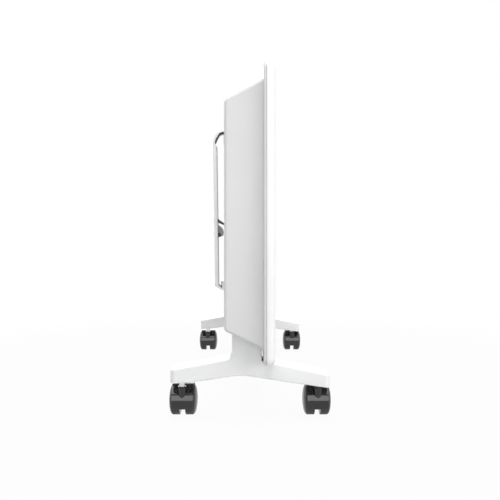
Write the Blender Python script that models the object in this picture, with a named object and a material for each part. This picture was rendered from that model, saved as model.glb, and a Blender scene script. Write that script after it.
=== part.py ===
"""Panel convector heater on two castored legs, with its wall bracket stored on the back.

Units are metres. +Z is up, the front faces -Y and the width runs along X.
The origin is on the floor, under the middle of the heater.
"""
import math

import bmesh
import bpy
from mathutils import Matrix, Vector

# Overall sizes
panel_width = 0.640
panel_height = 0.410
panel_lift = 0.0842
panel_depth = 0.0116
panel_front = -0.0342
panel_wall = 0.0014
panel_corner = 0.012
panel_front_round = 0.0095
panel_hem = 0.012

# Fits
touch_gap = 0.0003
running_gap = 0.0003
overrun = 0.004

# Rear casing
flange_depth = 0.0037
flange_inset = 0.001
casing_depth = 0.054
casing_wall = 0.0012
casing_round = 0.0045
casing_inset = 0.017
casing_drop = 0.020
top_slope_fall = 0.0292
bottom_slope_rise = 0.0262
intake_slot_width = 0.006
intake_slot_length = 0.034
intake_slot_pitch = 0.016
intake_slot_count = 22
mouth_lip = 0.001

# Outlet grille in the head of the front panel
outlet_width = 0.500
outlet_height = 0.034
outlet_drop = 0.030
grille_flange = 0.005
grille_depth = 0.009
grille_wall = 0.0016
blade_count = 4
blade_thickness = 0.0014
rib_count = 4
grille_proud = 0.0008

# Heating element
element_rise = 0.0376
element_setback = 0.006
element_end_gap = 0.0518
wing_span = 0.040
wing_thickness = 0.0022
wing_tilt = 38.0
hub_radius = 0.0075
rod_radius = 0.0040
rod_overhang = 0.022
rod_pin_radius = 0.0015
rod_pin = 0.008
fin_slot_width = 0.004
fin_slot_count = 16
insulator_radius = 0.0085
insulator_collar_radius = 0.0115
insulator_collar = 0.003
insulator_length = 0.012
element_bracket_sheet = 0.0015
element_bracket_height = 0.052
element_bracket_foot = 0.016
element_bracket_reach = 0.038

# Control unit in the right side of the casing
control_height = 0.130
control_width = 0.040
control_drop = 0.0950
control_proud = 0.003
control_depth = 0.030
control_wall = 0.0018
control_lip = 0.004
control_plate = 0.0022
control_round = 0.004
knob_radius = 0.0155
knob_height = 0.010
knob_round = 0.0015
knob_offset = 0.034
knob_grip_count = 12
knob_grip_depth = 0.0007
knob_groove_radius = 0.0016
knob_crown = 0.0025
knob_pointer_width = 0.0014
knob_pointer_length = 0.009
knob_pointer_depth = 0.0006
shaft_radius = 0.003
shaft_stand = 0.006
thermostat_radius = 0.013
thermostat_depth = 0.016
switch_width = 0.013
switch_height = 0.019
switch_offset = -0.012
switch_frame = 0.0022
switch_frame_proud = 0.0012
switch_body_depth = 0.016
rocker_proud = 0.0012
rocker_tilt = 8.0
rocker_crown = 0.0022
rocker_skirt = 26.0
rocker_steps = 4
switch_rim = 0.0018
switch_well = 0.0070
lamp_radius = 0.003
lamp_offset = -0.042
lamp_proud = 0.0012
lamp_depth = 0.010
lamp_body_radius = 0.0042

# Safety parts, terminals and cord gland inside the casing
cutout_radius = 0.008
cutout_depth = 0.008
cutout_ear = 0.004
cutout_inset = 0.183
cutout_rise = 0.1146
tip_switch_width = 0.022
tip_switch_height = 0.030
tip_switch_depth = 0.014
tip_switch_inset = 0.078
tip_switch_rise = 0.1046
tip_switch_lug = 0.006
terminal_width = 0.030
terminal_height = 0.016
terminal_depth = 0.014
terminal_inset = 0.088
terminal_rise = 0.0696
terminal_ways = 3
terminal_well_radius = 0.0028
gland_radius = 0.008
gland_bore = 0.0036
gland_flange_radius = 0.011
gland_flange = 0.003
gland_nose = 0.012
gland_inset = 0.088
gland_rise = 0.0196
gland_nut_width = 0.020
gland_nut = 0.004
gland_tail = 0.003
gland_lip = 0.0016

# Wall bracket stored on the back
bracket_width = 0.410
bracket_head_drop = 0.0247
bracket_foot_rise = 0.0477
bracket_stand = 0.0178
bracket_lean = 0.0031
bracket_section = 0.0052
bracket_sheet = 0.0015
bracket_post = 0.028
bracket_bar_depth = 0.0055
bracket_bar_height = 0.016
bracket_bar_lap = 0.002
wall_hole_rise = 0.0351
wall_hole_drop = 0.0501
bracket_hook_radius = 0.0170
bracket_hook_tail = 0.008
bracket_foot_offset = 0.0062
bracket_foot_block = 0.0072
bracket_foot_height = 0.0135
wall_hole_radius = 0.003
pad_thickness = 0.0019
pad_tail = 0.0023
pad_width = 0.004
pad_clearance = 0.0010
pad_ease = 3.0
flange_start = 60.0
flange_angles = (49.0, 29.0, 8.0, -8.0)
flange_shares = (0.850, 0.795, 0.815, 0.855)
latch_rise = 0.0838
latch_setback = 0.0118
latch_radius = 0.0121
latch_cam_shift = 0.0057
latch_cam_rise = 0.0040
latch_cam_start = 106.0
latch_cam_end = 205.0
latch_width = 0.014
latch_pin_radius = 0.0018
latch_eye_radius = 0.0030
latch_ear = 0.0024
latch_base = 0.0020
latch_base_drop = 0.0066
latch_base_height = 0.0337
latch_tongue_root = 0.0068
latch_tongue_fall = 0.0138
latch_tongue_tip = 0.0012
latch_tongue_catch = 0.0012
latch_slot_margin = 0.0028
overcut = 0.0002
latch_peg_radius = 0.0018
latch_low_peg = 0.0021
latch_high_peg = 0.0212
latch_pin_head_radius = 0.0026
latch_pin_head = 0.0008

# Legs
leg_inset = 0.060
arm_width = 0.040
arm_reach = 0.112
arm_edge_round = 0.0028
arm_end_round = 0.008
leg_wall = 0.0026
rear_tip_top = 0.0723
rear_tip_bottom = 0.0527
rear_root_top = 0.0872
rear_root = 0.0290
rear_flat = 0.0760
rear_flat_bottom = 0.0559
front_tip_top = 0.0650
front_tip_bottom = 0.0467
front_root_top = 0.0850
arch_top = 0.0652
arch_place = 0.0120
arch_round = 0.0600
upright_rear = 0.0252
upright_front = -0.0165
upright_fillet = 0.0060
leg_rib = 0.0035
socket_block = 0.0170

# Casters
caster_place = 0.097
wheel_radius = 0.022
wheel_half_gap = 0.0040
wheel_tread = 0.0112
wheel_dome = 0.0053
wheel_edge = 0.0008
hood_half_width = 0.0155
hood_wall = 0.0015
hood_clearance = 0.0006
hood_sill = 0.0123
hood_rear_angle = 12.0
hood_front_angle = 205.0
caster_trail = 0.020
axle_radius = 0.002
axle_end = 0.0115
housing_radius = 0.0055
housing_top = 0.0440
housing_foot = 0.0290
kingpin_radius = 0.0025
kingpin_foot = 0.0320
collar_radius = 0.0060
collar_height = 0.0012
stem_radius = 0.0040
stem_rise = 0.0200
stem_clearance = 0.0003

# Screws
screw_radius = 0.0018
screw_head_radius = 0.0038
screw_head = 0.0018
screw_length = 0.010
recess_radius = 0.0014
recess_depth = 0.0010
screw_crown_share = 0.75
leg_screw_spread = 0.016
leg_screw_place = 0.002
panel_screw_inset = 0.120

# Counts of facets round a turned shape
round_steps = 24
small_steps = 12
groove_steps = 8
dome_steps = 3
edge_steps = 3
nut_sides = 6

# Places that follow from the sizes above
panel_back = panel_front + panel_depth
flange_front = panel_back + touch_gap
flange_back = flange_front + flange_depth
casing_rear = flange_back + casing_depth
panel_foot = panel_lift
panel_top = panel_lift + panel_height
casing_half_width = panel_width / 2 - casing_inset
casing_top_front = panel_top - casing_drop
casing_top_rear = casing_top_front - top_slope_fall
casing_foot_front = panel_foot + casing_drop
casing_foot_rear = casing_foot_front + bottom_slope_rise
inner_rear = casing_rear - casing_wall
inner_half_width = casing_half_width - casing_wall
element_length = 2 * (inner_half_width - element_end_gap)
cutout_place = casing_half_width - cutout_inset
tip_switch_place = casing_half_width - tip_switch_inset
terminal_place = casing_half_width - terminal_inset
gland_place = casing_half_width - gland_inset
panel_screw_place = panel_width / 2 - panel_screw_inset
element_height = casing_foot_rear + element_rise
control_centre_height = casing_top_rear - control_drop
cutout_height = casing_foot_rear + cutout_rise
tip_switch_centre_height = casing_foot_rear + tip_switch_rise
terminal_centre_height = casing_foot_rear + terminal_rise
gland_height = casing_foot_rear + gland_rise
bracket_top = casing_top_rear - bracket_head_drop
bracket_foot = casing_foot_rear + bracket_foot_rise
latch_height = bracket_foot + latch_rise
wall_hole_heights = (bracket_foot + wall_hole_rise, bracket_top - wall_hole_drop)
latch_peg_places = (latch_low_peg, latch_high_peg)
leg_place = panel_width / 2 - leg_inset
bottom_slope = bottom_slope_rise / casing_depth
top_slope = top_slope_fall / casing_depth
wheel_outer = wheel_half_gap + wheel_tread + wheel_dome
hood_inner = wheel_radius + hood_clearance
hood_outer = hood_inner + hood_wall
web_half = wheel_half_gap - running_gap


def clear_scene():
    for old in list(bpy.data.objects):
        bpy.data.objects.remove(old, do_unlink=True)


def finish(name, colour, roughness, metallic=0.0):
    """A Principled material, made once for each finish."""
    found = bpy.data.materials.get(name)
    if found:
        return found
    made = bpy.data.materials.new(name)
    made.use_nodes = True
    shader = made.node_tree.nodes["Principled BSDF"]
    shader.inputs["Base Color"].default_value = (*colour, 1.0)
    shader.inputs["Roughness"].default_value = roughness
    shader.inputs["Metallic"].default_value = metallic
    made.diffuse_color = (*colour, 1.0)
    return made


def white_enamel():
    return finish("white_enamel", (0.93, 0.93, 0.93), 0.35)


def white_plastic():
    return finish("white_plastic", (0.90, 0.91, 0.91), 0.40)


def black_plastic():
    return finish("black_plastic", (0.03, 0.03, 0.03), 0.35)


def black_rubber():
    return finish("black_rubber", (0.04, 0.04, 0.04), 0.55)


def bright_steel():
    return finish("bright_steel", (0.75, 0.75, 0.76), 0.25, 1.0)


def black_steel():
    return finish("black_steel", (0.04, 0.04, 0.04), 0.40, 0.5)


def zinc_steel():
    return finish("zinc_steel", (0.62, 0.63, 0.64), 0.40, 1.0)


def dull_aluminium():
    return finish("dull_aluminium", (0.70, 0.70, 0.70), 0.45, 1.0)


def ceramic():
    return finish("ceramic", (0.85, 0.82, 0.74), 0.60)


def lamp_red():
    return finish("lamp_red", (0.65, 0.05, 0.03), 0.15)


def grey_plastic():
    return finish("grey_plastic", (0.40, 0.41, 0.42), 0.45)


def part(name, bm, material, origin=(0.0, 0.0, 0.0), smooth_angle=35.0):
    """Turns a bmesh drawn in world places into an object that stands at its origin."""
    bmesh.ops.remove_doubles(bm, verts=bm.verts, dist=1e-7)
    bmesh.ops.recalc_face_normals(bm, faces=bm.faces)
    bmesh.ops.translate(bm, verts=bm.verts, vec=-Vector(origin))
    mesh = bpy.data.meshes.new(name)
    bm.to_mesh(mesh)
    bm.free()
    mesh.shade_smooth()
    mesh.set_sharp_from_angle(angle=math.radians(smooth_angle))
    mesh.materials.append(material)
    made = bpy.data.objects.new(name, mesh)
    made.location = origin
    bpy.context.collection.objects.link(made)
    return made


def tool(name, bm):
    """A hidden body that a Boolean adds or takes away."""
    bmesh.ops.recalc_face_normals(bm, faces=bm.faces)
    mesh = bpy.data.meshes.new(name)
    bm.to_mesh(mesh)
    bm.free()
    made = bpy.data.objects.new(name, mesh)
    made.hide_render = True
    made.display_type = "WIRE"
    bpy.context.collection.objects.link(made)
    return made


def combine(target, bm, operation):
    helper = tool(f"{target.name}_{operation.lower()}_{len(target.modifiers)}", bm)
    step = target.modifiers.new(helper.name, "BOOLEAN")
    step.operation = operation
    step.solver = "EXACT"
    step.object = helper


def cut(target, bm):
    combine(target, bm, "DIFFERENCE")


def join(target, bm):
    combine(target, bm, "UNION")


def box(bm, low, high):
    """A block between two opposite corners."""
    made = bmesh.ops.create_cube(bm, size=1.0)["verts"]
    size = Vector(high) - Vector(low)
    centre = (Vector(high) + Vector(low)) / 2
    bmesh.ops.scale(bm, verts=made, vec=size)
    bmesh.ops.translate(bm, verts=made, vec=centre)
    return made


def prism(bm, outline, low, high, axis="X"):
    """An outline in the plane across an axis, extruded along that axis."""
    def place(first, second, along):
        if axis == "X":
            return (along, first, second)
        if axis == "Y":
            return (first, along, second)
        return (first, second, along)

    base = [bm.verts.new(place(first, second, low)) for first, second in outline]
    face = bm.faces.new(base)
    grown = bmesh.ops.extrude_face_region(bm, geom=[face])["geom"]
    moved = [item for item in grown if isinstance(item, bmesh.types.BMVert)]
    bmesh.ops.translate(bm, verts=moved, vec=Vector(place(0.0, 0.0, high - low)))
    return base + moved


def turn(bm, profile, centre, axis="Z", steps=round_steps, closed=False):
    """A profile of (radius, height) pairs turned about an axis through the centre."""
    ring = [bm.verts.new((radius, 0.0, height)) for radius, height in profile]
    pairs = list(zip(ring, ring[1:]))
    if closed:
        pairs.append((ring[-1], ring[0]))
    edges = [bm.edges.new(pair) for pair in pairs]
    before = set(bm.verts) - set(ring)
    bmesh.ops.spin(bm, geom=ring + edges, cent=(0, 0, 0), axis=(0, 0, 1), angle=math.tau,
                   steps=steps, use_merge=True, use_duplicate=False)
    made = [vert for vert in bm.verts if vert not in before]
    bmesh.ops.remove_doubles(bm, verts=made, dist=1e-7)
    made = [vert for vert in bm.verts if vert not in before]
    turns = {"X": Matrix.Rotation(math.pi / 2, 3, "Y"), "Y": Matrix.Rotation(-math.pi / 2, 3, "X"),
             "Z": Matrix.Identity(3)}
    bmesh.ops.rotate(bm, verts=made, matrix=turns[axis], cent=(0, 0, 0))
    bmesh.ops.translate(bm, verts=made, vec=Vector(centre))
    return made


def rod(bm, radius, low, high, centre, axis="Z", steps=small_steps):
    """A plain round bar, with its ends at low and high along the axis from the centre."""
    return turn(bm, [(0.0, low), (radius, low), (radius, high), (0.0, high)], centre, axis, steps)


def arc(centre, radius, start, end, steps):
    """Points on a circle between two angles in degrees, both ends included."""
    points = []
    for step in range(steps + 1):
        angle = math.radians(start + (end - start) * step / steps)
        points.append((centre[0] + radius * math.cos(angle), centre[1] + radius * math.sin(angle)))
    return points


def rounded(outline, radii, steps=edge_steps):
    """The outline with each corner replaced by an arc of its radius."""
    points = []
    count = len(outline)
    for index, corner in enumerate(outline):
        radius = radii[index]
        here = Vector(corner)
        if radius == 0.0:
            points.append(tuple(here))
            continue
        back = (Vector(outline[index - 1]) - here).normalized()
        ahead = (Vector(outline[(index + 1) % count]) - here).normalized()
        half = back.angle(ahead) / 2
        reach = radius / math.tan(half)
        middle = here + (back + ahead).normalized() * radius / math.sin(half)
        start = here + back * reach - middle
        end = here + ahead * reach - middle
        swing = math.atan2(start.x * end.y - start.y * end.x, start.dot(end))
        for step in range(steps + 1):
            points.append(tuple(middle + Matrix.Rotation(swing * step / steps, 2) @ start))
    return points


def level(start, end, place):
    """Height at a place along the line between two (place, height) points."""
    share = (place - start[0]) / (end[0] - start[0])
    return start[1] + (end[1] - start[1]) * share


def soften(bm, edges, width, segments):
    bmesh.ops.bevel(bm, geom=edges, offset=width, offset_type="OFFSET", segments=segments,
                    profile=0.5, affect="EDGES", clamp_overlap=True)


def edges_along(bm, direction):
    """Straight edges that run along a direction."""
    chosen = []
    for edge in bm.edges:
        run = (edge.verts[1].co - edge.verts[0].co).normalized()
        if abs(run.dot(Vector(direction))) > 1 - 1e-6:
            chosen.append(edge)
    return chosen


def edges_at(bm, axis, place):
    """Edges whose both ends lie at one place along an axis."""
    near = 1e-6
    return [edge for edge in bm.edges if all(abs(vert.co[axis] - place) < near for vert in edge.verts)]


def screw(name, seat, direction, material):
    """A pan-head screw. Its head rests on the seat and its shank runs along the direction."""
    bm = bmesh.new()
    start = screw_length + touch_gap
    profile = [(0.0, -start), (screw_radius, -start), (screw_radius, 0.0), (screw_head_radius, 0.0),
               (screw_head_radius, screw_head / 2), (screw_head_radius * screw_crown_share, screw_head),
               (recess_radius, screw_head), (recess_radius, screw_head - recess_depth),
               (0.0, screw_head - recess_depth)]
    made = turn(bm, profile, (0.0, 0.0, touch_gap), "Z", small_steps)
    facing = -Vector(direction)
    bmesh.ops.rotate(bm, verts=made, cent=(0, 0, 0),
                     matrix=Vector((0, 0, 1)).rotation_difference(facing).to_matrix())
    bmesh.ops.translate(bm, verts=made, vec=Vector(seat))
    return part(name, bm, material, seat)


def front_panel():
    """A sheet with a rounded rim, hemmed inward at the back, and the outlet window."""
    half = panel_width / 2
    bm = bmesh.new()
    box(bm, (-half, panel_front, panel_foot), (half, panel_back, panel_top))
    soften(bm, edges_along(bm, (0, 1, 0)), panel_corner, edge_steps)
    soften(bm, edges_at(bm, 1, panel_front), panel_front_round, edge_steps)
    back = max((face for face in bm.faces if face.normal.y > 1 - 1e-6), key=lambda face: face.calc_area())
    bmesh.ops.inset_region(bm, faces=[back], thickness=panel_hem, use_even_offset=True)
    bmesh.ops.delete(bm, geom=[back], context="FACES")
    made = part("front_panel", bm, white_enamel())
    shell = made.modifiers.new("sheet", "SOLIDIFY")
    shell.thickness = panel_wall
    shell.offset = -1.0
    shell.use_even_offset = True
    window = bmesh.new()
    top = panel_top - outlet_drop
    box(window, (-outlet_width / 2, panel_front - overrun, top - outlet_height),
        (outlet_width / 2, panel_front + panel_wall + overrun, top))
    cut(made, window)
    holes = bmesh.new()
    for x, z in panel_screw_places():
        rod(holes, screw_radius + touch_gap, panel_back - panel_wall - overrun, panel_back + overrun,
            (x, 0.0, z), "Y")
    cut(made, holes)
    return made


def panel_screw_places():
    strip = casing_drop / 2
    heights = (panel_foot + strip, panel_top - strip)
    return [(side * panel_screw_place, z) for side in (-1, 1) for z in heights]


def outlet_grille():
    """A frame that fills the window from behind, with level blades and upright ribs."""
    half = outlet_width / 2 - touch_gap
    top = panel_top - outlet_drop - touch_gap
    foot = panel_top - outlet_drop - outlet_height + touch_gap
    face = panel_front - grille_proud
    seat = panel_front + panel_wall + touch_gap
    bm = bmesh.new()
    box(bm, (-half - grille_flange, seat, foot - grille_flange),
        (half + grille_flange, seat + grille_wall, top + grille_flange))
    made = part("outlet_grille", bm, black_plastic())
    throat = bmesh.new()
    box(throat, (-half, face, foot), (half, panel_front + grille_depth, top))
    join(made, throat)
    gaps = bmesh.new()
    clear_width = 2 * (half - grille_wall)
    clear_height = top - foot - 2 * grille_wall
    cell_width = (clear_width - rib_count * blade_thickness) / (rib_count + 1)
    cell_height = (clear_height - blade_count * blade_thickness) / (blade_count + 1)
    for column in range(rib_count + 1):
        x = -half + grille_wall + column * (cell_width + blade_thickness)
        for row in range(blade_count + 1):
            z = foot + grille_wall + row * (cell_height + blade_thickness)
            box(gaps, (x, face - overrun, z),
                (x + cell_width, panel_front + grille_depth + overrun, z + cell_height))
    cut(made, gaps)
    return made


def casing_outline():
    """Side outline of the shell. Its mouth is sunk by half the sheet into the flange."""
    sink = casing_wall / 2
    mouth = flange_back - sink
    return [(mouth, foot_slope_height(mouth)), (casing_rear, casing_foot_rear),
            (casing_rear, casing_top_rear), (mouth, casing_top_front + sink * top_slope)]


def foot_slope_height(place):
    """Height of the casing's sloping underside at a place from front to back."""
    return casing_foot_front + (place - flange_back) * bottom_slope


def rear_casing():
    """A pressed shell, open to the front, with a flange that carries the front panel."""
    bm = bmesh.new()
    prism(bm, casing_outline(), -casing_half_width, casing_half_width)
    bmesh.ops.recalc_face_normals(bm, faces=bm.faces)
    front = edges_at(bm, 1, flange_back - casing_wall / 2)
    soften(bm, [edge for edge in bm.edges if edge not in front], casing_round, edge_steps)
    mouth = max((face for face in bm.faces if face.normal.y < -1 + 1e-6),
                key=lambda face: face.calc_area())
    bmesh.ops.delete(bm, geom=[mouth], context="FACES")
    made = part("rear_casing", bm, white_enamel())
    shell = made.modifiers.new("sheet", "SOLIDIFY")
    shell.thickness = casing_wall
    shell.offset = -1.0
    shell.use_even_offset = True
    join(made, casing_flange())
    cut(made, intake_slots())
    cut(made, casing_openings())
    return made


def casing_flange():
    """The flat frame round the mouth of the shell, a little inside the front panel's outline."""
    half = panel_width / 2 - flange_inset
    bm = bmesh.new()
    box(bm, (-half, flange_front, panel_foot + flange_inset), (half, flange_back, panel_top - flange_inset))
    soften(bm, edges_along(bm, (0, 1, 0)), panel_corner - flange_inset, edge_steps)
    return bm


def intake_slots():
    """Slots across the sloping underside."""
    bm = bmesh.new()
    tilt = math.atan(bottom_slope)
    middle = (flange_back + casing_rear) / 2
    first = -(intake_slot_count - 1) / 2 * intake_slot_pitch
    for index in range(intake_slot_count):
        slot = box(bm, (-intake_slot_width / 2, -intake_slot_length / 2, -overrun),
                   (intake_slot_width / 2, intake_slot_length / 2, overrun))
        bmesh.ops.rotate(bm, verts=slot, cent=(0, 0, 0), matrix=Matrix.Rotation(tilt, 3, "X"))
        bmesh.ops.translate(bm, verts=slot,
                            vec=(first + index * intake_slot_pitch, middle, foot_slope_height(middle)))
    return bm


def casing_openings():
    """The mouth, and the holes for what passes through the sheet."""
    bm = bmesh.new()
    edge = mouth_lip + casing_wall
    half = casing_half_width - edge
    foot = casing_foot_front + edge
    top = casing_top_front - edge
    corner = casing_round - casing_wall
    mouth = rounded([(-half, foot), (half, foot), (half, top), (-half, top)], [corner] * 4)
    prism(bm, mouth, flange_front - overrun, flange_back + casing_wall, "Y")
    low, high = control_opening()
    box(bm, (inner_half_width - overrun, low[0], low[1]), (casing_half_width + overrun, high[0], high[1]))
    rod(bm, gland_radius + touch_gap, inner_rear - overrun, casing_rear + overrun,
        (gland_place, 0.0, gland_height), "Y")
    for x, z in panel_screw_places():
        rod(bm, screw_radius + touch_gap, flange_front - overrun, flange_back + overrun, (x, 0.0, z), "Y",
            small_steps)
    for seat, direction in leg_screw_seats():
        hole = rod(bm, screw_radius + touch_gap, -overrun, overrun, (0.0, 0.0, 0.0))
        bmesh.ops.rotate(bm, verts=hole, cent=(0, 0, 0), matrix=upward_turn(direction))
        bmesh.ops.translate(bm, verts=hole, vec=Vector(seat) + Vector(direction) * leg_wall)
    for x in post_places():
        box(bm, (x - bracket_post / 2 - touch_gap, inner_rear - overrun, hook_slot_foot()),
            (x + bracket_post / 2 + touch_gap, casing_rear + overrun, bracket_top + touch_gap))
        middle = tongue_tip()[1] + latch_tongue_tip / 2
        tall = latch_tongue_tip / 2 + latch_slot_margin
        wide = latch_width / 2 + running_gap + latch_ear + touch_gap
        box(bm, (x - wide, inner_rear - overrun, middle - tall),
            (x + wide, casing_rear + overrun, middle + tall))
    return bm


def control_opening():
    """Near and far corners, in depth and height, of the hole in the casing's side."""
    middle = control_middle()
    deep = control_width / 2 - control_lip + touch_gap
    tall = control_height / 2 - control_lip + touch_gap
    return ((middle - deep, control_centre_height - tall), (middle + deep, control_centre_height + tall))


def control_middle():
    return (flange_back + casing_rear) / 2


def hook_slot_foot():
    return bracket_top - bracket_sheet - bracket_hook_tail - touch_gap


def upward_turn(direction):
    return Vector((0, 0, 1)).rotation_difference(Vector(direction)).to_matrix()


def heating_element():
    """An aluminium body with four slotted wings round a hub that holds the heating rod."""
    place = (0.0, element_setback, element_height)
    half = element_length / 2
    made = part("element_body", element_wing(1), dull_aluminium(), place)
    join(made, element_wing(-1))
    hub = bmesh.new()
    rod(hub, hub_radius, -half, half, place, "X")
    join(made, hub)
    slots = bmesh.new()
    pitch = element_length / fin_slot_count
    reach = wing_span
    for index in range(fin_slot_count):
        x = -half + (index + 0.5) * pitch
        for side in (-1, 1):
            near = place[2] + side * (hub_radius + wing_thickness)
            far = place[2] + side * reach
            box(slots, (x - fin_slot_width / 2, place[1] - reach, min(near, far)),
                (x + fin_slot_width / 2, place[1] + reach, max(near, far)))
    cut(made, slots)
    bore = bmesh.new()
    rod(bore, rod_radius + touch_gap, -half - overrun, half + overrun, place, "X")
    cut(made, bore)
    return made


def element_wing(side):
    """One of the two crossed plates, tilted to its side."""
    bm = bmesh.new()
    half = element_length / 2
    plate = box(bm, (-half, -wing_span / 2, -wing_thickness / 2),
                (half, wing_span / 2, wing_thickness / 2))
    bmesh.ops.rotate(bm, verts=plate, cent=(0, 0, 0),
                     matrix=Matrix.Rotation(side * math.radians(wing_tilt), 3, "X"))
    bmesh.ops.translate(bm, verts=plate, vec=(0.0, element_setback, element_height))
    return bm


def heating_rod():
    """The tubular rod through the element, with a thin cold pin at each end."""
    place = (0.0, element_setback, element_height)
    reach = element_length / 2 + rod_overhang
    pin = reach + rod_pin
    bm = bmesh.new()
    turn(bm, [(0.0, -pin), (rod_pin_radius, -pin), (rod_pin_radius, -reach), (rod_radius, -reach),
              (rod_radius, reach), (rod_pin_radius, reach), (rod_pin_radius, pin), (0.0, pin)],
         place, "X", small_steps)
    return part("heating_rod", bm, zinc_steel(), place)


def bracket_plane():
    """Distance from the middle of the heater to the inner face of each element bracket."""
    return element_length / 2 + insulator_collar + 2 * touch_gap


def insulator(name, side):
    """A ceramic bush whose collar lies between the element and its bracket."""
    start = element_length / 2 + touch_gap
    profile = [(rod_radius + touch_gap, start), (insulator_collar_radius, start),
               (insulator_collar_radius, start + insulator_collar),
               (insulator_radius, start + insulator_collar),
               (insulator_radius, start + insulator_length),
               (rod_radius + touch_gap, start + insulator_length)]
    place = (0.0, element_setback, element_height)
    bm = bmesh.new()
    turn(bm, [(radius, side * along) for radius, along in profile], place, "X", small_steps, closed=True)
    return part(name, bm, ceramic(), (side * start, place[1], place[2]))


def element_bracket(name, side):
    """An angle of sheet: a foot on the rear wall and a web that holds the insulator."""
    near = bracket_plane()
    far = near + element_bracket_sheet
    foot = inner_rear - touch_gap
    low = element_height - element_bracket_height / 2
    high = element_height + element_bracket_height / 2
    outline = [(side * near, foot - element_bracket_reach), (side * far, foot - element_bracket_reach),
               (side * far, foot - element_bracket_sheet),
               (side * (near + element_bracket_foot), foot - element_bracket_sheet),
               (side * (near + element_bracket_foot), foot), (side * near, foot)]
    bm = bmesh.new()
    prism(bm, outline, low, high, "Z")
    made = part(name, bm, zinc_steel(), (side * near, foot, element_height))
    hole = bmesh.new()
    rod(hole, insulator_radius + touch_gap, -overrun, overrun,
        (side * near, element_setback, element_height), "X")
    cut(made, hole)
    return made


def control_housing():
    """A face plate on the casing's side, with a shallow open box behind it."""
    middle = control_middle()
    outer = casing_half_width + control_proud
    deep = control_width / 2
    tall = control_height / 2
    bm = bmesh.new()
    plate = rounded([(middle - deep, control_centre_height - tall),
                     (middle + deep, control_centre_height - tall),
                     (middle + deep, control_centre_height + tall),
                     (middle - deep, control_centre_height + tall)],
                    [control_round] * 4)
    prism(bm, plate, casing_half_width + touch_gap, outer)
    made = part("control_housing", bm, white_plastic(), (outer, middle, control_centre_height))
    body = bmesh.new()
    deep -= control_lip
    tall -= control_lip
    box(body, (casing_half_width - control_depth, middle - deep, control_centre_height - tall),
        (outer - control_plate / 2, middle + deep, control_centre_height + tall))
    join(made, body)
    hollow = bmesh.new()
    deep -= control_wall
    tall -= control_wall
    box(hollow,
        (casing_half_width - control_depth - overrun, middle - deep, control_centre_height - tall),
        (outer - control_plate, middle + deep, control_centre_height + tall))
    cut(made, hollow)
    holes = bmesh.new()
    rod(holes, shaft_radius + touch_gap, -overrun, overrun, control_place(knob_offset), "X")
    rod(holes, lamp_radius + touch_gap, -overrun, overrun, control_place(lamp_offset), "X")
    seat = control_place(switch_offset)
    wide = switch_width / 2 + touch_gap
    high = switch_height / 2 + touch_gap
    box(holes, (outer - overrun, seat[1] - wide, seat[2] - high),
        (outer + overrun, seat[1] + wide, seat[2] + high))
    cut(made, holes)
    return made


def control_place(offset):
    """A point on the face plate at a height above the plate's middle."""
    return (casing_half_width + control_proud, control_middle(), control_centre_height + offset)


def thermostat():
    """The thermostat's can behind the plate. Its front is bored for the shaft."""
    place = control_place(knob_offset)
    front = -control_plate - touch_gap
    back = front - thermostat_depth
    bore = shaft_radius + touch_gap
    floor = front - shaft_stand
    profile = [(0.0, back), (thermostat_radius, back), (thermostat_radius, front),
               (bore, front), (bore, floor), (0.0, floor)]
    bm = bmesh.new()
    turn(bm, profile, place, "X")
    return part("thermostat", bm, grey_plastic(), place)


def thermostat_shaft():
    place = control_place(knob_offset)
    foot = -control_plate - shaft_stand
    bm = bmesh.new()
    rod(bm, shaft_radius, foot, running_gap + knob_height - knob_crown, place, "X")
    return part("thermostat_shaft", bm, bright_steel(), place)


def thermostat_knob():
    """A turned knob with grip grooves, a pointer groove and a blind bore for the shaft."""
    place = control_place(knob_offset)
    bore = shaft_radius + touch_gap
    top = running_gap + knob_height
    roof = top - knob_crown + touch_gap
    profile = [(bore, running_gap), (knob_radius, running_gap), (knob_radius, top - knob_round),
               (knob_radius - knob_round, top), (0.0, top), (0.0, roof), (bore, roof)]
    bm = bmesh.new()
    turn(bm, profile, place, "X", round_steps, closed=True)
    made = part("thermostat_knob", bm, white_plastic(), place)
    grooves = bmesh.new()
    ring = knob_radius + knob_groove_radius - knob_grip_depth
    for index in range(knob_grip_count):
        angle = math.tau * index / knob_grip_count
        centre = (place[0], place[1] + ring * math.cos(angle), place[2] + ring * math.sin(angle))
        rod(grooves, knob_groove_radius, running_gap - overrun, top + overrun, centre, "X", groove_steps)
    cut(made, grooves)
    pointer = bmesh.new()
    box(pointer, (place[0] + top - knob_pointer_depth, place[1] - knob_pointer_width / 2,
                  place[2] + knob_radius - knob_pointer_length - knob_round),
        (place[0] + top + overrun, place[1] + knob_pointer_width / 2,
         place[2] + knob_radius - knob_round))
    cut(made, pointer)
    return made


def switch_frame_piece():
    """The switch's fixed body, with a rim on the plate and a well for the rocker."""
    place = control_place(switch_offset)
    wide = switch_width / 2
    high = switch_height / 2
    bm = bmesh.new()
    box(bm, (place[0] - switch_body_depth, place[1] - wide, place[2] - high),
        (place[0] + switch_frame_proud, place[1] + wide, place[2] + high))
    made = part("switch_frame", bm, black_plastic(), place)
    rim = bmesh.new()
    box(rim, (place[0] + touch_gap, place[1] - wide - switch_rim, place[2] - high - switch_rim),
        (place[0] + switch_frame_proud, place[1] + wide + switch_rim, place[2] + high + switch_rim))
    join(made, rim)
    well = bmesh.new()
    wide -= switch_frame
    high -= switch_frame
    box(well, (place[0] - switch_well, place[1] - wide, place[2] - high),
        (place[0] + switch_frame_proud + overrun, place[1] + wide, place[2] + high))
    cut(made, well)
    return made


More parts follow.
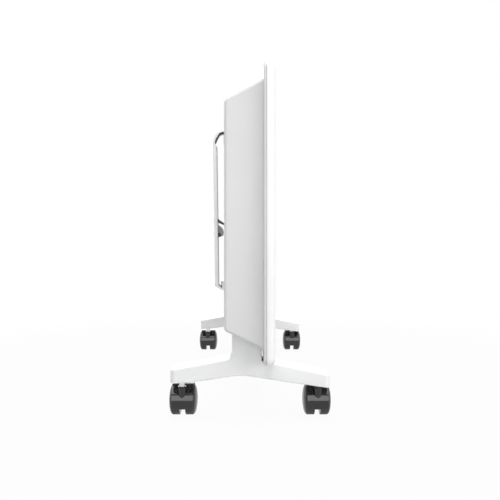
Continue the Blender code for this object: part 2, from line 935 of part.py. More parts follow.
def switch_rocker():
    """A rocker with round ends, at rest with its lower half pressed."""
    radius = switch_height / 2 - switch_frame - running_gap
    half = switch_width / 2 - switch_frame - running_gap
    place = rocker_pivot()
    crest = math.degrees(math.asin(rocker_crown / radius)) + rocker_tilt
    outline = [(rocker_crown, 0.0)]
    outline += arc((0.0, 0.0), radius, 90.0 - crest, 90.0 + rocker_skirt, rocker_steps)
    outline += arc((0.0, 0.0), radius, -90.0 - rocker_skirt, crest - 90.0, rocker_steps)
    bm = bmesh.new()
    body = prism(bm, outline, -half, half, "Y")
    bmesh.ops.rotate(bm, verts=body, cent=(0, 0, 0),
                     matrix=Matrix.Rotation(math.radians(rocker_tilt), 3, "Y"))
    bmesh.ops.translate(bm, verts=body, vec=Vector(place))
    return part("switch_rocker", bm, black_plastic(), place)


def rocker_pivot():
    plate = control_place(switch_offset)
    return (plate[0] + switch_frame_proud + rocker_proud - rocker_crown, plate[1], plate[2])


def power_lamp():
    place = control_place(lamp_offset)
    bm = bmesh.new()
    foot = -control_plate - touch_gap
    profile = [(0.0, foot - lamp_depth), (lamp_body_radius, foot - lamp_depth), (lamp_body_radius, foot),
               (lamp_radius, foot), (lamp_radius, lamp_proud / 2),
               (lamp_radius - lamp_proud / 2, lamp_proud), (0.0, lamp_proud)]
    turn(bm, profile, place, "X", small_steps)
    return part("power_lamp", bm, lamp_red(), place)


def thermal_cutout():
    """The overheat cut-out: a disc on a flange on the rear wall."""
    place = (cutout_place, inner_rear - touch_gap, cutout_height)
    flange = cutout_radius + cutout_ear
    profile = [(0.0, 0.0), (flange, 0.0), (flange, -cutout_ear / 2), (cutout_radius, -cutout_ear / 2),
               (cutout_radius, -cutout_depth), (0.0, -cutout_depth)]
    bm = bmesh.new()
    turn(bm, profile, place, "Y", small_steps)
    return part("thermal_cutout", bm, bright_steel(), place)


def tip_over_switch():
    place = (tip_switch_place, inner_rear - touch_gap, tip_switch_centre_height)
    bm = bmesh.new()
    box(bm,
        (place[0] - tip_switch_width / 2, place[1] - tip_switch_depth, place[2] - tip_switch_height / 2),
        (place[0] + tip_switch_width / 2, place[1], place[2] + tip_switch_height / 2))
    made = part("tip_over_switch", bm, grey_plastic(), place)
    lugs = bmesh.new()
    reach = tip_switch_height / 2 + tip_switch_lug
    box(lugs, (place[0] - tip_switch_lug / 2, place[1] - tip_switch_lug / 2, place[2] - reach),
        (place[0] + tip_switch_lug / 2, place[1], place[2] + reach))
    join(made, lugs)
    return made


def terminal_block():
    """A block with a wire well for each way."""
    place = (terminal_place, inner_rear - touch_gap, terminal_centre_height)
    bm = bmesh.new()
    box(bm, (place[0] - terminal_width / 2, place[1] - terminal_depth, place[2] - terminal_height / 2),
        (place[0] + terminal_width / 2, place[1], place[2] + terminal_height / 2))
    made = part("terminal_block", bm, white_plastic(), place)
    wells = bmesh.new()
    pitch = terminal_width / terminal_ways
    for index in range(terminal_ways):
        x = place[0] + (index - (terminal_ways - 1) / 2) * pitch
        rod(wells, terminal_well_radius, -terminal_depth - overrun, -terminal_depth / 2,
            (x, place[1], place[2]), "Y", groove_steps)
    cut(made, wells)
    return made


def cord_gland():
    """A bushing through the rear wall, open end to end, with a tapered nose outside."""
    place = (gland_place, casing_rear, gland_height)
    seat = touch_gap
    outer = seat + gland_flange
    inner = -casing_wall - gland_nut - gland_tail
    profile = [(gland_bore, inner), (gland_radius, inner), (gland_radius, seat),
               (gland_flange_radius, seat), (gland_flange_radius, outer), (gland_radius, outer),
               (gland_bore + gland_lip, outer + gland_nose), (gland_bore, outer + gland_nose)]
    bm = bmesh.new()
    turn(bm, profile, place, "Y", small_steps, closed=True)
    return part("cord_gland", bm, black_plastic(), place)


def gland_nut_piece():
    place = (gland_place, inner_rear - touch_gap, gland_height)
    across = gland_nut_width / 2
    bm = bmesh.new()
    turn(bm, [(0.0, -gland_nut), (across, -gland_nut), (across, 0.0), (0.0, 0.0)], place, "Y", nut_sides)
    made = part("gland_nut", bm, black_plastic(), place)
    bore = bmesh.new()
    rod(bore, gland_radius + touch_gap, -gland_nut - overrun, overrun, place, "Y", small_steps)
    cut(made, bore)
    return made


def post_places():
    half = bracket_width / 2 - bracket_post / 2
    return (-half, half)


def post_foot():
    return bracket_foot + bracket_foot_offset


def post_head():
    return bracket_top - bracket_hook_radius


def bracket_outer(height):
    """The bracket leans: its outer face stands further off the casing towards its head."""
    share = (height - post_foot()) / (post_head() - post_foot())
    return casing_rear + bracket_stand + bracket_lean * share


def leaning_strip(low, high, outer_inset, inner_inset):
    """Side outline of a strip of the bracket between two heights."""
    return [(bracket_outer(low) - outer_inset, low), (bracket_outer(high) - outer_inset, high),
            (bracket_outer(high) - inner_inset, high), (bracket_outer(low) - inner_inset, low)]


def wall_bracket():
    """Two channel posts with a hook and a step each, and two cross bars close to the casing."""
    lap = bracket_width / 2 - bracket_post + bracket_bar_lap
    low_bar = bmesh.new()
    prism(low_bar, low_bar_outline(0.0), -lap, lap)
    made = part("wall_bracket", low_bar, white_enamel(), (0.0, casing_rear, bracket_foot))
    high_bar = bmesh.new()
    prism(high_bar, high_bar_outline(0.0), -lap, lap)
    posts = bmesh.new()
    hooks = bmesh.new()
    steps = bmesh.new()
    pockets = bmesh.new()
    holes = bmesh.new()
    for x in post_places():
        low, high = x - bracket_post / 2, x + bracket_post / 2
        prism(posts, leaning_strip(post_foot(), bend_foot() + overcut, 0.0, bracket_section), low, high)
        prism(hooks, hook_outline(), low, high)
        prism(steps, step_outline(), low, high)
        channel = leaning_strip(post_foot() + bracket_section, bend_foot(), bracket_sheet,
                                bracket_section + overrun)
        prism(pockets, channel, low + bracket_sheet, high - bracket_sheet)
        prism(pockets, bend_pocket(), low + bracket_sheet, high - bracket_sheet)
        for rise in latch_peg_places:
            rod(holes, latch_peg_radius + touch_gap, -bracket_section, overrun,
                (x, bracket_outer(latch_height + rise), latch_height + rise), "Y", small_steps)
        for height in wall_hole_heights:
            rod(holes, wall_hole_radius, -bracket_section, overrun, (x, bracket_outer(height), height), "Y",
                small_steps)
    join(made, posts)
    join(made, hooks)
    join(made, high_bar)
    join(made, steps)
    clear = lap - bracket_bar_lap - bracket_sheet
    prism(pockets, low_bar_outline(bracket_sheet), -clear, clear)
    prism(pockets, high_bar_outline(bracket_sheet), -clear, clear)
    cut(made, pockets)
    cut(made, holes)
    return made


def bar_outline(foot, head, depth, wall):
    """Side outline of a cross bar, or with a wall, of the channel in it that opens towards the casing."""
    seat = casing_rear + touch_gap
    near = seat - overrun if wall else seat
    far = seat + depth - wall
    return [(near, foot + wall), (far, foot + wall), (far, head - wall), (near, head - wall)]


def low_bar_outline(wall):
    depth = bracket_foot_block - touch_gap - overcut
    return bar_outline(bracket_foot + overcut, bracket_foot + bracket_foot_height - overcut, depth, wall)


def high_bar_outline(wall):
    head = bracket_top - overcut
    return bar_outline(head - bracket_bar_height, head, bracket_bar_depth, wall)


def bend_foot():
    return post_head() - bracket_section


def bend_centre():
    return (bracket_outer(post_head()) - bracket_hook_radius, post_head())


def flange_line(inset):
    """The edge of the flanges across the bend, from its upper end down, set in by some depth."""
    centre = bend_centre()
    return [arc(centre, bracket_hook_radius * share - inset, angle, angle, 1)[0]
            for angle, share in zip(flange_angles, flange_shares)]


def hook_outline():
    """From the post's head over to the casing, through its slot and down behind the sheet."""
    tail = inner_rear - touch_gap
    under = bracket_top - bracket_sheet
    outline = arc(bend_centre(), bracket_hook_radius, 0.0, 90.0, 8)
    outline += [(tail - bracket_sheet, bracket_top), (tail - bracket_sheet, under - bracket_hook_tail),
                (tail, under - bracket_hook_tail), (tail, under)]
    outline += arc(bend_centre(), bracket_hook_radius - bracket_sheet, 90.0, flange_start, 4)
    outline += flange_line(0.0)
    low = bend_foot()
    outline += [(bracket_outer(low) - bracket_section + touch_gap, low),
                (bracket_outer(low) - touch_gap, low)]
    return outline


def bend_pocket():
    """The channel between the flanges of the bend."""
    outer = bracket_hook_radius - bracket_sheet
    outline = arc(bend_centre(), outer, 0.0, flange_start - 6.0, 5)
    return outline + arc(bend_centre(), outer - bracket_section, flange_start - 6.0, 0.0, 5)


def step_outline():
    """From the post's foot slanting in to a block that stands against the casing."""
    seat = casing_rear + touch_gap
    block = casing_rear + bracket_foot_block
    top = bracket_foot + bracket_foot_height
    high = post_foot() + bracket_section
    return [(bracket_outer(high) - touch_gap, high), (bracket_outer(post_foot()), post_foot()),
            (block, bracket_foot), (seat, bracket_foot), (seat, top), (block, top),
            (block, bracket_foot + bracket_sheet * 2),
            (bracket_outer(post_foot()) - bracket_section, post_foot() + bracket_sheet),
            (bracket_outer(high) - bracket_section + touch_gap, high)]


def hook_pad(name, x):
    """A strip that lines a hook: under its tail, round the bend and down the edge of its outer flange."""
    centre = bend_centre()
    outer = bracket_hook_radius - bracket_sheet - touch_gap
    seat = casing_rear + pad_clearance
    roof = centre[1] + outer
    outline = [(seat, roof), *arc(centre, outer, 90.0, flange_start + pad_ease, 4), *flange_line(touch_gap)]
    outline += flange_line(touch_gap + pad_thickness)[::-1]
    inner = outer - pad_tail
    outline += [*arc(centre, inner, flange_start + pad_ease, 90.0, 4), (seat, roof - pad_tail)]
    bm = bmesh.new()
    side = math.copysign(1.0, x)
    outer_edge = x + side * (bracket_post / 2 - touch_gap)
    prism(bm, outline, *sorted((outer_edge, outer_edge - side * pad_width)))
    return part(name, bm, black_rubber(), (x, centre[0], centre[1]))


def latch_pivot(x):
    return (x, casing_rear + latch_setback, latch_height)


def latch_block(name, x):
    """A plate in the post's channel with a tongue above the cam, two ears for its pin and two pegs."""
    low = latch_height - latch_base_drop
    high = low + latch_base_height
    back = bracket_sheet + touch_gap
    front = back + latch_base
    half = latch_width / 2 + running_gap + latch_ear
    bm = bmesh.new()
    prism(bm, leaning_strip(low, high, back, front), x - half, x + half)
    pivot = latch_pivot(x)
    made = part(name, bm, black_plastic(), (x, bracket_outer(latch_height), latch_height))
    tongue = bmesh.new()
    tip, foot = tongue_tip()
    root = bracket_outer(high) - back - latch_base / 2
    prism(tongue, [(root, high - overcut), (tip, foot + latch_tongue_tip), (tip, foot),
                   (root, high - latch_tongue_root)], x - half + overcut, x + half - overcut)
    join(made, tongue)
    ears = bmesh.new()
    root = bracket_outer(latch_height) - back - latch_base / 2
    outline = [(root, pivot[2] + latch_eye_radius), *arc(pivot[1:], latch_eye_radius, 90.0, 270.0, 8),
               (root, pivot[2] - latch_eye_radius)]
    for side in (-1, 1):
        edges = sorted((x + side * (half - latch_ear), x + side * half))
        prism(ears, outline, edges[0], edges[1])
    join(made, ears)
    pegs = bmesh.new()
    for rise in latch_peg_places:
        seat = bracket_outer(latch_height + rise)
        turn(pegs, [(0.0, -back - latch_base / 2), (latch_peg_radius, -back - latch_base / 2),
                    (latch_peg_radius, -touch_gap), (0.0, -touch_gap)],
             (x, seat, latch_height + rise), "Y", small_steps)
    join(made, pegs)
    hole = bmesh.new()
    rod(hole, latch_pin_radius + touch_gap, -half - overrun, half + overrun, pivot, "X")
    cut(made, hole)
    return made


def tongue_tip():
    """Depth and height of the lower corner of the tongue's tip, just inside the casing's sheet."""
    high = latch_height - latch_base_drop + latch_base_height
    return (inner_rear - latch_tongue_catch, high - latch_tongue_fall - latch_tongue_tip)


def latch_cam(name, x):
    """A D-shaped cam that turns on a pin between the ears."""
    pivot = latch_pivot(x)
    centre = (pivot[1] + latch_cam_shift, pivot[2] + latch_cam_rise)
    outline = arc(centre, latch_radius, latch_cam_start, latch_cam_end, 12)
    outline += arc(pivot[1:], latch_eye_radius, 225.0, 405.0, 8)
    bm = bmesh.new()
    prism(bm, outline, x - latch_width / 2, x + latch_width / 2)
    made = part(name, bm, grey_plastic(), pivot)
    hole = bmesh.new()
    rod(hole, latch_pin_radius + touch_gap, -latch_width, latch_width, pivot, "X")
    cut(made, hole)
    return made


def latch_pin(name, x):
    """A pin through the ears and the cam, riveted over at both ends."""
    reach = latch_width / 2 + running_gap + latch_ear + touch_gap
    end = reach + latch_pin_head
    bm = bmesh.new()
    turn(bm, [(0.0, -end), (latch_pin_head_radius, -end), (latch_pin_head_radius, -reach),
              (latch_pin_radius, -reach), (latch_pin_radius, reach),
              (latch_pin_head_radius, reach), (latch_pin_head_radius, end), (0.0, end)],
         latch_pivot(x), "X", small_steps)
    return part(name, bm, black_steel(), latch_pivot(x))


def leg_outline():
    """Side outline of a leg: two arms over an arch, and the upright with its sloping head."""
    corners = [
        ((arm_reach, rear_tip_bottom), arm_edge_round),
        ((arm_reach, rear_tip_top), arm_edge_round),
        ((rear_root, rear_root_top), upright_fillet),
        ((upright_rear, rear_root_top + upright_fillet), 0.0),
        ((upright_rear, upright_head(upright_rear)), 0.0),
        ((upright_front, upright_head(upright_front)), 0.0),
        ((upright_front, front_root_top), 0.0),
        ((-arm_reach, front_tip_top), arm_edge_round),
        ((-arm_reach, front_tip_bottom), arm_edge_round),
        ((arch_place, arch_top), arch_round),
        ((rear_flat, rear_flat_bottom), arch_round),
    ]
    return rounded([corner for corner, radius in corners], [radius for corner, radius in corners])


def upright_head(place):
    return foot_slope_height(place) - touch_gap


def rear_arm_top(place):
    return level((rear_root, rear_root_top), (arm_reach, rear_tip_top), place)


def front_arm_top(place):
    return level((upright_front, front_root_top), (-arm_reach, front_tip_top), place)


def leg(name, side):
    """A hollow moulding, open underneath, with a socket block near each tip."""
    x = side * leg_place
    half = arm_width / 2
    bm = bmesh.new()
    prism(bm, leg_outline(), x - half, x + half)
    bmesh.ops.recalc_face_normals(bm, faces=bm.faces)
    rims = [edge for place in (x - half, x + half) for edge in edges_at(bm, 0, place)]
    soften(bm, rims, arm_edge_round / 2, 2)
    made = part(name, bm, white_plastic(), (x, 0.0, upright_head(0.0)))
    cut(made, arm_corners(x))
    cut(made, leg_pockets(x))
    holes = bmesh.new()
    for place in (-caster_place, caster_place):
        rod(holes, stem_radius + stem_clearance, 0.0, stem_top() + touch_gap, (x, place, 0.0))
    for seat, direction in leg_screw_seats():
        if seat[0] * side > 0:
            hole = rod(holes, screw_radius + touch_gap, -overrun, overrun, (0.0, 0.0, 0.0))
            bmesh.ops.rotate(holes, verts=hole, cent=(0, 0, 0), matrix=upward_turn(direction))
            bmesh.ops.translate(holes, verts=hole, vec=Vector(seat))
    cut(made, holes)
    return made


def arm_corners(x):
    """What the rounding takes off the four upright corners of the arms' ends."""
    half = arm_width / 2
    bm = bmesh.new()
    for side in (-1, 1):
        for end in (-1, 1):
            centre = (x + side * (half - arm_end_round), end * (arm_reach - arm_end_round))
            far = (x + side * (half + overrun), end * (arm_reach + overrun))
            start = math.degrees(math.atan2(end, side)) - 45.0
            outline = arc(centre, arm_end_round, start, start + 90.0, 6)
            corner = [(centre[0], far[1]), far, (far[0], centre[1])]
            outline += corner if side == end else corner[::-1]
            prism(bm, outline, front_tip_bottom - overrun, rear_tip_top + overrun, "Z")
    bmesh.ops.recalc_face_normals(bm, faces=bm.faces)
    return bm


def leg_pockets(x):
    """The hollows in the two arms and in the upright."""
    half = arm_width / 2 - leg_wall
    near = upright_rear + leg_rib
    far = caster_place - socket_block / 2
    foot = front_tip_bottom - overrun
    bm = bmesh.new()
    prism(bm, [(near, foot), (far, foot), (far, rear_arm_top(far) - leg_wall),
               (near, rear_arm_top(near) - leg_wall)], x - half, x + half)
    near = upright_front - leg_rib
    prism(bm, [(near, foot), (near, front_arm_top(near) - leg_wall),
               (-far, front_arm_top(-far) - leg_wall), (-far, foot)], x - half, x + half)
    front = upright_front + leg_wall
    rear = upright_rear - leg_wall
    prism(bm, [(front, foot), (rear, foot), (rear, pocket_head(rear)), (front, pocket_head(front))],
          x - half, x + half)
    return bm


def pocket_head(place):
    return upright_head(place) - leg_wall / math.cos(math.atan(bottom_slope))


def leg_screw_seats():
    """Where the leg screws seat inside the uprights, and their direction, square to the underside."""
    tilt = math.atan(bottom_slope)
    direction = (0.0, -math.sin(tilt), math.cos(tilt))
    seats = []
    for side in (-1, 1):
        for step in (-1, 1):
            x = side * leg_place + step * leg_screw_spread / 2
            seats.append(((x, leg_screw_place, pocket_head(leg_screw_place)), direction))
    return seats


def stem_top():
    return housing_top + touch_gap + collar_height + stem_rise


def caster(tag, x, y):
    """A swivelling hood on its stem, with an axle and two wheels that trail to the right."""
    swivel = (x, y, housing_top)
    hub = (x + caster_trail, y, wheel_radius)
    caster_hood(f"caster_hood_{tag}", swivel, hub)
    caster_stem(f"caster_stem_{tag}", swivel)
    bm = bmesh.new()
    rod(bm, axle_radius, -axle_end, axle_end, hub, "Y")
    part(f"caster_axle_{tag}", bm, bright_steel(), hub)
    for label, side in (("rear", 1), ("front", -1)):
        caster_wheel(f"caster_wheel_{tag}_{label}", hub, side)


def caster_hood(name, swivel, hub):
    """A round cover over both wheels, a web between them and the housing of the stem."""
    centre = (hub[0], hub[2])
    start = math.degrees(math.asin((hood_sill - wheel_radius) / hood_outer))
    bm = bmesh.new()
    prism(bm, arc(centre, hood_outer, start, 180.0 - start, round_steps), hub[1] - hood_half_width,
          hub[1] + hood_half_width, "Y")
    made = part(name, bm, black_plastic(), swivel)
    housing = bmesh.new()
    turn(housing, [(0.0, housing_foot), (housing_radius, housing_foot + housing_radius),
                   (housing_radius, housing_top), (0.0, housing_top)],
         (swivel[0], swivel[1], 0.0), "Z", small_steps)
    join(made, housing)
    wells = bmesh.new()
    outline = arc(centre, hood_inner, hood_rear_angle, hood_front_angle, round_steps)
    outline += arc(centre, hood_outer + overrun, hood_front_angle, hood_rear_angle + 360.0, small_steps)
    for side in (-1, 1):
        edges = sorted((hub[1] + side * web_half, hub[1] + side * (hood_half_width + overrun)))
        prism(wells, outline, edges[0], edges[1], "Y")
    cut(made, wells)
    holes = bmesh.new()
    rod(holes, axle_radius + touch_gap, -hood_half_width, hood_half_width, hub, "Y")
    rod(holes, kingpin_radius + running_gap, kingpin_foot - running_gap, housing_top + overrun,
        (swivel[0], swivel[1], 0.0))
    cut(made, holes)
    return made


def caster_stem(name, swivel):
    """A kingpin for the hood, a collar and the stem that is pressed into the leg."""
    seat = housing_top + touch_gap
    top = seat + collar_height
    profile = [(0.0, kingpin_foot), (kingpin_radius, kingpin_foot), (kingpin_radius, seat),
               (collar_radius, seat), (collar_radius, top), (stem_radius, top),
               (stem_radius, stem_top()), (0.0, stem_top())]
    bm = bmesh.new()
    turn(bm, profile, (swivel[0], swivel[1], 0.0), "Z", small_steps)
    return part(name, bm, bright_steel(), swivel)


def caster_wheel(name, hub, side):
    """A tread with a domed outer face and a blind bore for the axle."""
    bore = axle_radius + running_gap
    rim = wheel_half_gap + wheel_tread
    profile = [(bore, wheel_half_gap), (wheel_radius - wheel_edge, wheel_half_gap),
               (wheel_radius, wheel_half_gap + wheel_edge), (wheel_radius, rim - wheel_edge)]
    for step in range(dome_steps):
        angle = math.radians(90.0 * step / dome_steps)
        profile.append(((wheel_radius - wheel_edge) * math.cos(angle),
                        rim + wheel_dome * math.sin(angle)))
    profile += [(0.0, wheel_outer), (0.0, axle_end + running_gap), (bore, axle_end + running_gap)]
    bm = bmesh.new()
    turn(bm, [(radius, side * along) for radius, along in profile], hub, "Y", round_steps, closed=True)
    return part(name, bm, black_rubber(), hub)


def build():
    clear_scene()
    front_panel()
    outlet_grille()
    rear_casing()
    heating_element()
    heating_rod()
    control_housing()
    thermostat()
    thermostat_shaft()
    thermostat_knob()
    switch_frame_piece()
    switch_rocker()
    power_lamp()
    thermal_cutout()
    tip_over_switch()
    terminal_block()
    cord_gland()
    gland_nut_piece()
    wall_bracket()
    for label, side, post in (("left", -1, post_places()[0]), ("right", 1, post_places()[1])):
        insulator(f"insulator_{label}", side)
        element_bracket(f"element_bracket_{label}", side)
        hook_pad(f"hook_pad_{label}", post)
        latch_block(f"latch_block_{label}", post)
        latch_cam(f"latch_cam_{label}", post)
        latch_pin(f"latch_pin_{label}", post)
        leg(f"leg_{label}", side)
        for end, place in (("rear", caster_place), ("front", -caster_place)):
            caster(f"{label}_{end}", side * leg_place, place)
    for index, (seat, direction) in enumerate(leg_screw_seats(), 1):
        screw(f"leg_screw_{index}", seat, direction, bright_steel())
    for index, (x, z) in enumerate(panel_screw_places(), 1):
        screw(f"panel_screw_{index}", (x, flange_back, z), (0.0, -1.0, 0.0), bright_steel())


build()
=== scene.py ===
import math
import bmesh
import bpy
from mathutils import Matrix, Vector


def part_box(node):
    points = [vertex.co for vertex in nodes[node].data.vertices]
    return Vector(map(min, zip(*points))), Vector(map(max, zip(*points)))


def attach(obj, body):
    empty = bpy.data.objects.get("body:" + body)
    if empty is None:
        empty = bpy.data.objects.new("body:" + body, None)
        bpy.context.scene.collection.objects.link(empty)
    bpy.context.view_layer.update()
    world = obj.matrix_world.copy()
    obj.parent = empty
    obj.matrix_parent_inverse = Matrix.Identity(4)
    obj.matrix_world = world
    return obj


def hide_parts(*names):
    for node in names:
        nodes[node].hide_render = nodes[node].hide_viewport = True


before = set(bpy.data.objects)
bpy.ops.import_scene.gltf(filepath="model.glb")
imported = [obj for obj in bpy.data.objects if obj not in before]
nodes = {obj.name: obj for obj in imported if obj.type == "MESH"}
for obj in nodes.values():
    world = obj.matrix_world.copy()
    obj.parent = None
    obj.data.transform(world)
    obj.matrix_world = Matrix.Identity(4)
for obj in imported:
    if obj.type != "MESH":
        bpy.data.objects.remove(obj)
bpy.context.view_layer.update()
print("frame loaded:", len(nodes), "nodes")

# the camera stands level with the middle of the heater, on its left
shot = {"distance": 1.104, "height": 0.2512, "sensor": 36.0, "focal": 591 / 500, "shift": -0.016}
cameraData = bpy.data.cameras.new("camera")
cameraData.sensor_width = shot["sensor"]
cameraData.lens = shot["focal"] * shot["sensor"]
cameraData.shift_y = shot["shift"]
camera = bpy.data.objects.new("camera", cameraData)
camera.location = (-shot["distance"], 0.0, shot["height"])
camera.rotation_euler = (math.radians(90), 0.0, math.radians(-90))
bpy.context.scene.collection.objects.link(camera)
bpy.context.scene.camera = camera


touchGap = 0.0003     # between pieces that touch
cutPast = 0.004       # how far a cutter runs past the face it opens
weldReach = 1e-7      # points nearer than this become one


# mesh helpers

def block(bm, low, high):
    corners = bmesh.ops.create_cube(bm, size=1.0)["verts"]
    bmesh.ops.scale(bm, verts=corners, vec=Vector(high) - Vector(low))
    bmesh.ops.translate(bm, verts=corners, vec=(Vector(high) + Vector(low)) / 2)
    return corners


def rod(bm, radius, low, high, place, axis="Z", steps=32):
    made = bmesh.ops.create_cone(bm, cap_ends=True, segments=steps, radius1=radius, radius2=radius,
                                 depth=high - low)["verts"]
    bmesh.ops.translate(bm, verts=made, vec=(0, 0, (low + high) / 2))
    lay(bm, made, axis, place)
    return made


def lay(bm, verts, axis, place):
    turns = {"X": Matrix.Rotation(math.pi / 2, 3, "Y"), "Y": Matrix.Rotation(-math.pi / 2, 3, "X"),
             "Z": Matrix.Identity(3)}
    bmesh.ops.rotate(bm, verts=verts, matrix=turns[axis], cent=(0, 0, 0))
    bmesh.ops.translate(bm, verts=verts, vec=Vector(place))


def turned(bm, profile, place, axis="Z", steps=64, closed=False):
    before = set(bm.verts)
    ring = [bm.verts.new((radius, 0.0, height)) for radius, height in profile]
    pairs = list(zip(ring, ring[1:])) + ([(ring[-1], ring[0])] if closed else [])
    edges = [bm.edges.new(pair) for pair in pairs]
    bmesh.ops.spin(bm, geom=ring + edges, cent=(0, 0, 0), axis=(0, 0, 1), angle=math.tau, steps=steps,
                   use_merge=True)
    made = [vert for vert in bm.verts if vert not in before]
    bmesh.ops.remove_doubles(bm, verts=made, dist=weldReach)
    made = [vert for vert in bm.verts if vert not in before]
    lay(bm, made, axis, place)
    return made


def slab(bm, outline, low, high):
    # the outline holds (y, z) corners
    face = bm.faces.new([bm.verts.new((low, y, z)) for y, z in outline])
    grown = bmesh.ops.extrude_face_region(bm, geom=[face])["geom"]
    moved = [item for item in grown if isinstance(item, bmesh.types.BMVert)]
    bmesh.ops.translate(bm, verts=moved, vec=(high - low, 0, 0))
    bmesh.ops.recalc_face_normals(bm, faces=bm.faces)


def cutAway(bm, point, facing):
    # takes off what lies past the plane and closes the cut
    cut = bmesh.ops.bisect_plane(bm, geom=[*bm.verts, *bm.edges, *bm.faces], plane_co=point, plane_no=facing,
                                 clear_outer=True)
    bmesh.ops.holes_fill(bm, edges=[item for item in cut["geom_cut"] if isinstance(item, bmesh.types.BMEdge)])


def aim(bm, verts, start, facing):
    # turns the points about the origin until start looks along facing
    bmesh.ops.rotate(bm, verts=verts, cent=(0, 0, 0),
                     matrix=Vector(start).rotation_difference(facing).to_matrix())


def rounding(bm, edges, width, segments):
    bmesh.ops.bevel(bm, geom=edges, offset=width, offset_type="OFFSET", segments=segments, profile=0.5,
                    affect="EDGES", clamp_overlap=True, material=-1)


def edgesAlong(bm, axis):
    return [edge for edge in bm.edges
            if abs((edge.verts[1].co - edge.verts[0].co).normalized()[axis]) > 0.9999]


def edgesAt(bm, axis, place, near=1e-5):
    return [edge for edge in bm.edges if all(abs(vert.co[axis] - place) < near for vert in edge.verts)]


def sharpEdges(bm, angle):
    return [edge for edge in bm.edges
            if len(edge.link_faces) == 2 and edge.calc_face_angle(0) > math.radians(angle)]


def draft(name, bm):
    bmesh.ops.remove_doubles(bm, verts=bm.verts, dist=weldReach)
    bmesh.ops.recalc_face_normals(bm, faces=bm.faces)
    mesh = bpy.data.meshes.new(name)
    bm.to_mesh(mesh)
    bm.free()
    piece = bpy.data.objects.new(name, mesh)
    bpy.context.scene.collection.objects.link(piece)
    return piece


def settle(piece):
    # turns the live modifiers into plain mesh
    bpy.context.view_layer.update()
    made = bpy.data.meshes.new_from_object(piece.evaluated_get(bpy.context.evaluated_depsgraph_get()))
    piece.modifiers.clear()
    piece.data = made


def carve(piece, bm, operation="DIFFERENCE"):
    cutter = draft(piece.name + "Cutter", bm)
    step = piece.modifiers.new("carve", "BOOLEAN")
    step.operation = operation
    step.solver = "EXACT"
    step.object = cutter
    settle(piece)
    bpy.data.objects.remove(cutter)


def hollow(piece, wall):
    step = piece.modifiers.new("sheet", "SOLIDIFY")
    step.thickness = wall
    step.offset = -1.0
    step.use_even_offset = True
    settle(piece)


def soften(piece, width, segments, angle=30):
    bm = bmesh.new()
    bm.from_mesh(piece.data)
    bmesh.ops.dissolve_limit(bm, angle_limit=math.radians(0.5), verts=bm.verts, edges=bm.edges)
    rounding(bm, sharpEdges(bm, angle), width, segments)
    bm.to_mesh(piece.data)
    bm.free()


def finish(piece, material, body, slot, *stoodFor, angle=34):
    piece.data.materials.clear()
    piece.data.materials.append(material)
    piece.data.shade_smooth()
    piece.data.set_sharp_from_angle(angle=math.radians(angle))
    even = piece.modifiers.new("even shading", "WEIGHTED_NORMAL")
    even.keep_sharp = True
    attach(piece, body)
    if stoodFor:
        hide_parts(*stoodFor)
    return piece


def copied(name, node, width, segments=2, angle=25):
    # a merged copy of a CAD node with its edges eased
    bm = bmesh.new()
    bm.from_mesh(nodes[node].data)
    bmesh.ops.remove_doubles(bm, verts=bm.verts, dist=2e-6)
    bmesh.ops.dissolve_limit(bm, angle_limit=math.radians(1.0), verts=bm.verts, edges=bm.edges)
    if width:
        rounding(bm, sharpEdges(bm, angle), width, segments)
    return draft(name, bm)


# finishes

def surface(name, look):
    made = bpy.data.materials.new(name)
    made.use_nodes = True
    tree = made.node_tree
    wire = tree.links.new

    def add(kind, **values):
        node = tree.nodes.new(kind)
        for key, value in values.items():
            node.inputs[key.replace("_", " ")].default_value = value
        return node

    def spread(source, low, high, start=0.35, end=0.65):
        node = add("ShaderNodeMapRange", From_Min=start, From_Max=end, To_Min=low, To_Max=high)
        wire(source, node.inputs["Value"])
        return node.outputs["Result"]

    def blendColours(share, first, second):
        # sockets 6 and 7 take the two colours, 2 gives the blend
        node = tree.nodes.new("ShaderNodeMix")
        node.data_type = "RGBA"
        wire(share, node.inputs[0])
        for index, colour in ((6, first), (7, second)):
            if isinstance(colour, tuple):
                node.inputs[index].default_value = (*colour, 1.0)
            else:
                wire(colour, node.inputs[index])
        return node.outputs[2]

    shader = tree.nodes["Principled BSDF"]
    shader.inputs["Metallic"].default_value = look.get("metal", 0.0)
    shader.inputs["IOR"].default_value = look.get("ior", 1.5)
    shader.inputs["Coat Weight"].default_value = look.get("coat", 0.0)
    shader.inputs["Coat Roughness"].default_value = look.get("coatRough", 0.05)
    place = add("ShaderNodeTexCoord")
    stretch = add("ShaderNodeMapping", Scale=look.get("stretch", (1.0, 1.0, 1.0)))
    wire(place.outputs["Object"], stretch.inputs["Vector"])
    noises = {}
    for key in ("mottle", "scuff", "grain"):
        noises[key] = add("ShaderNodeTexNoise", Scale=1 / look[key + "Size"], Detail=3.0)
        wire(stretch.outputs["Vector"], noises[key].inputs["Vector"])
    colour = look["colour"]
    dimmed = tuple(value * (1 - look["mottle"]) for value in colour)
    tint = blendColours(spread(noises["mottle"].outputs["Fac"], 0.0, 1.0), dimmed, colour)
    wire(tint, shader.inputs["Base Color"])
    rough = look["rough"]
    wire(spread(noises["scuff"].outputs["Fac"], rough - look["scuff"], rough + look["scuff"]),
         shader.inputs["Roughness"])
    bump = add("ShaderNodeBump", Strength=look["grain"], Distance=look.get("grainDepth", 0.0002))
    wire(noises["grain"].outputs["Fac"], bump.inputs["Height"])
    wire(bump.outputs["Normal"], shader.inputs["Normal"])
    return made


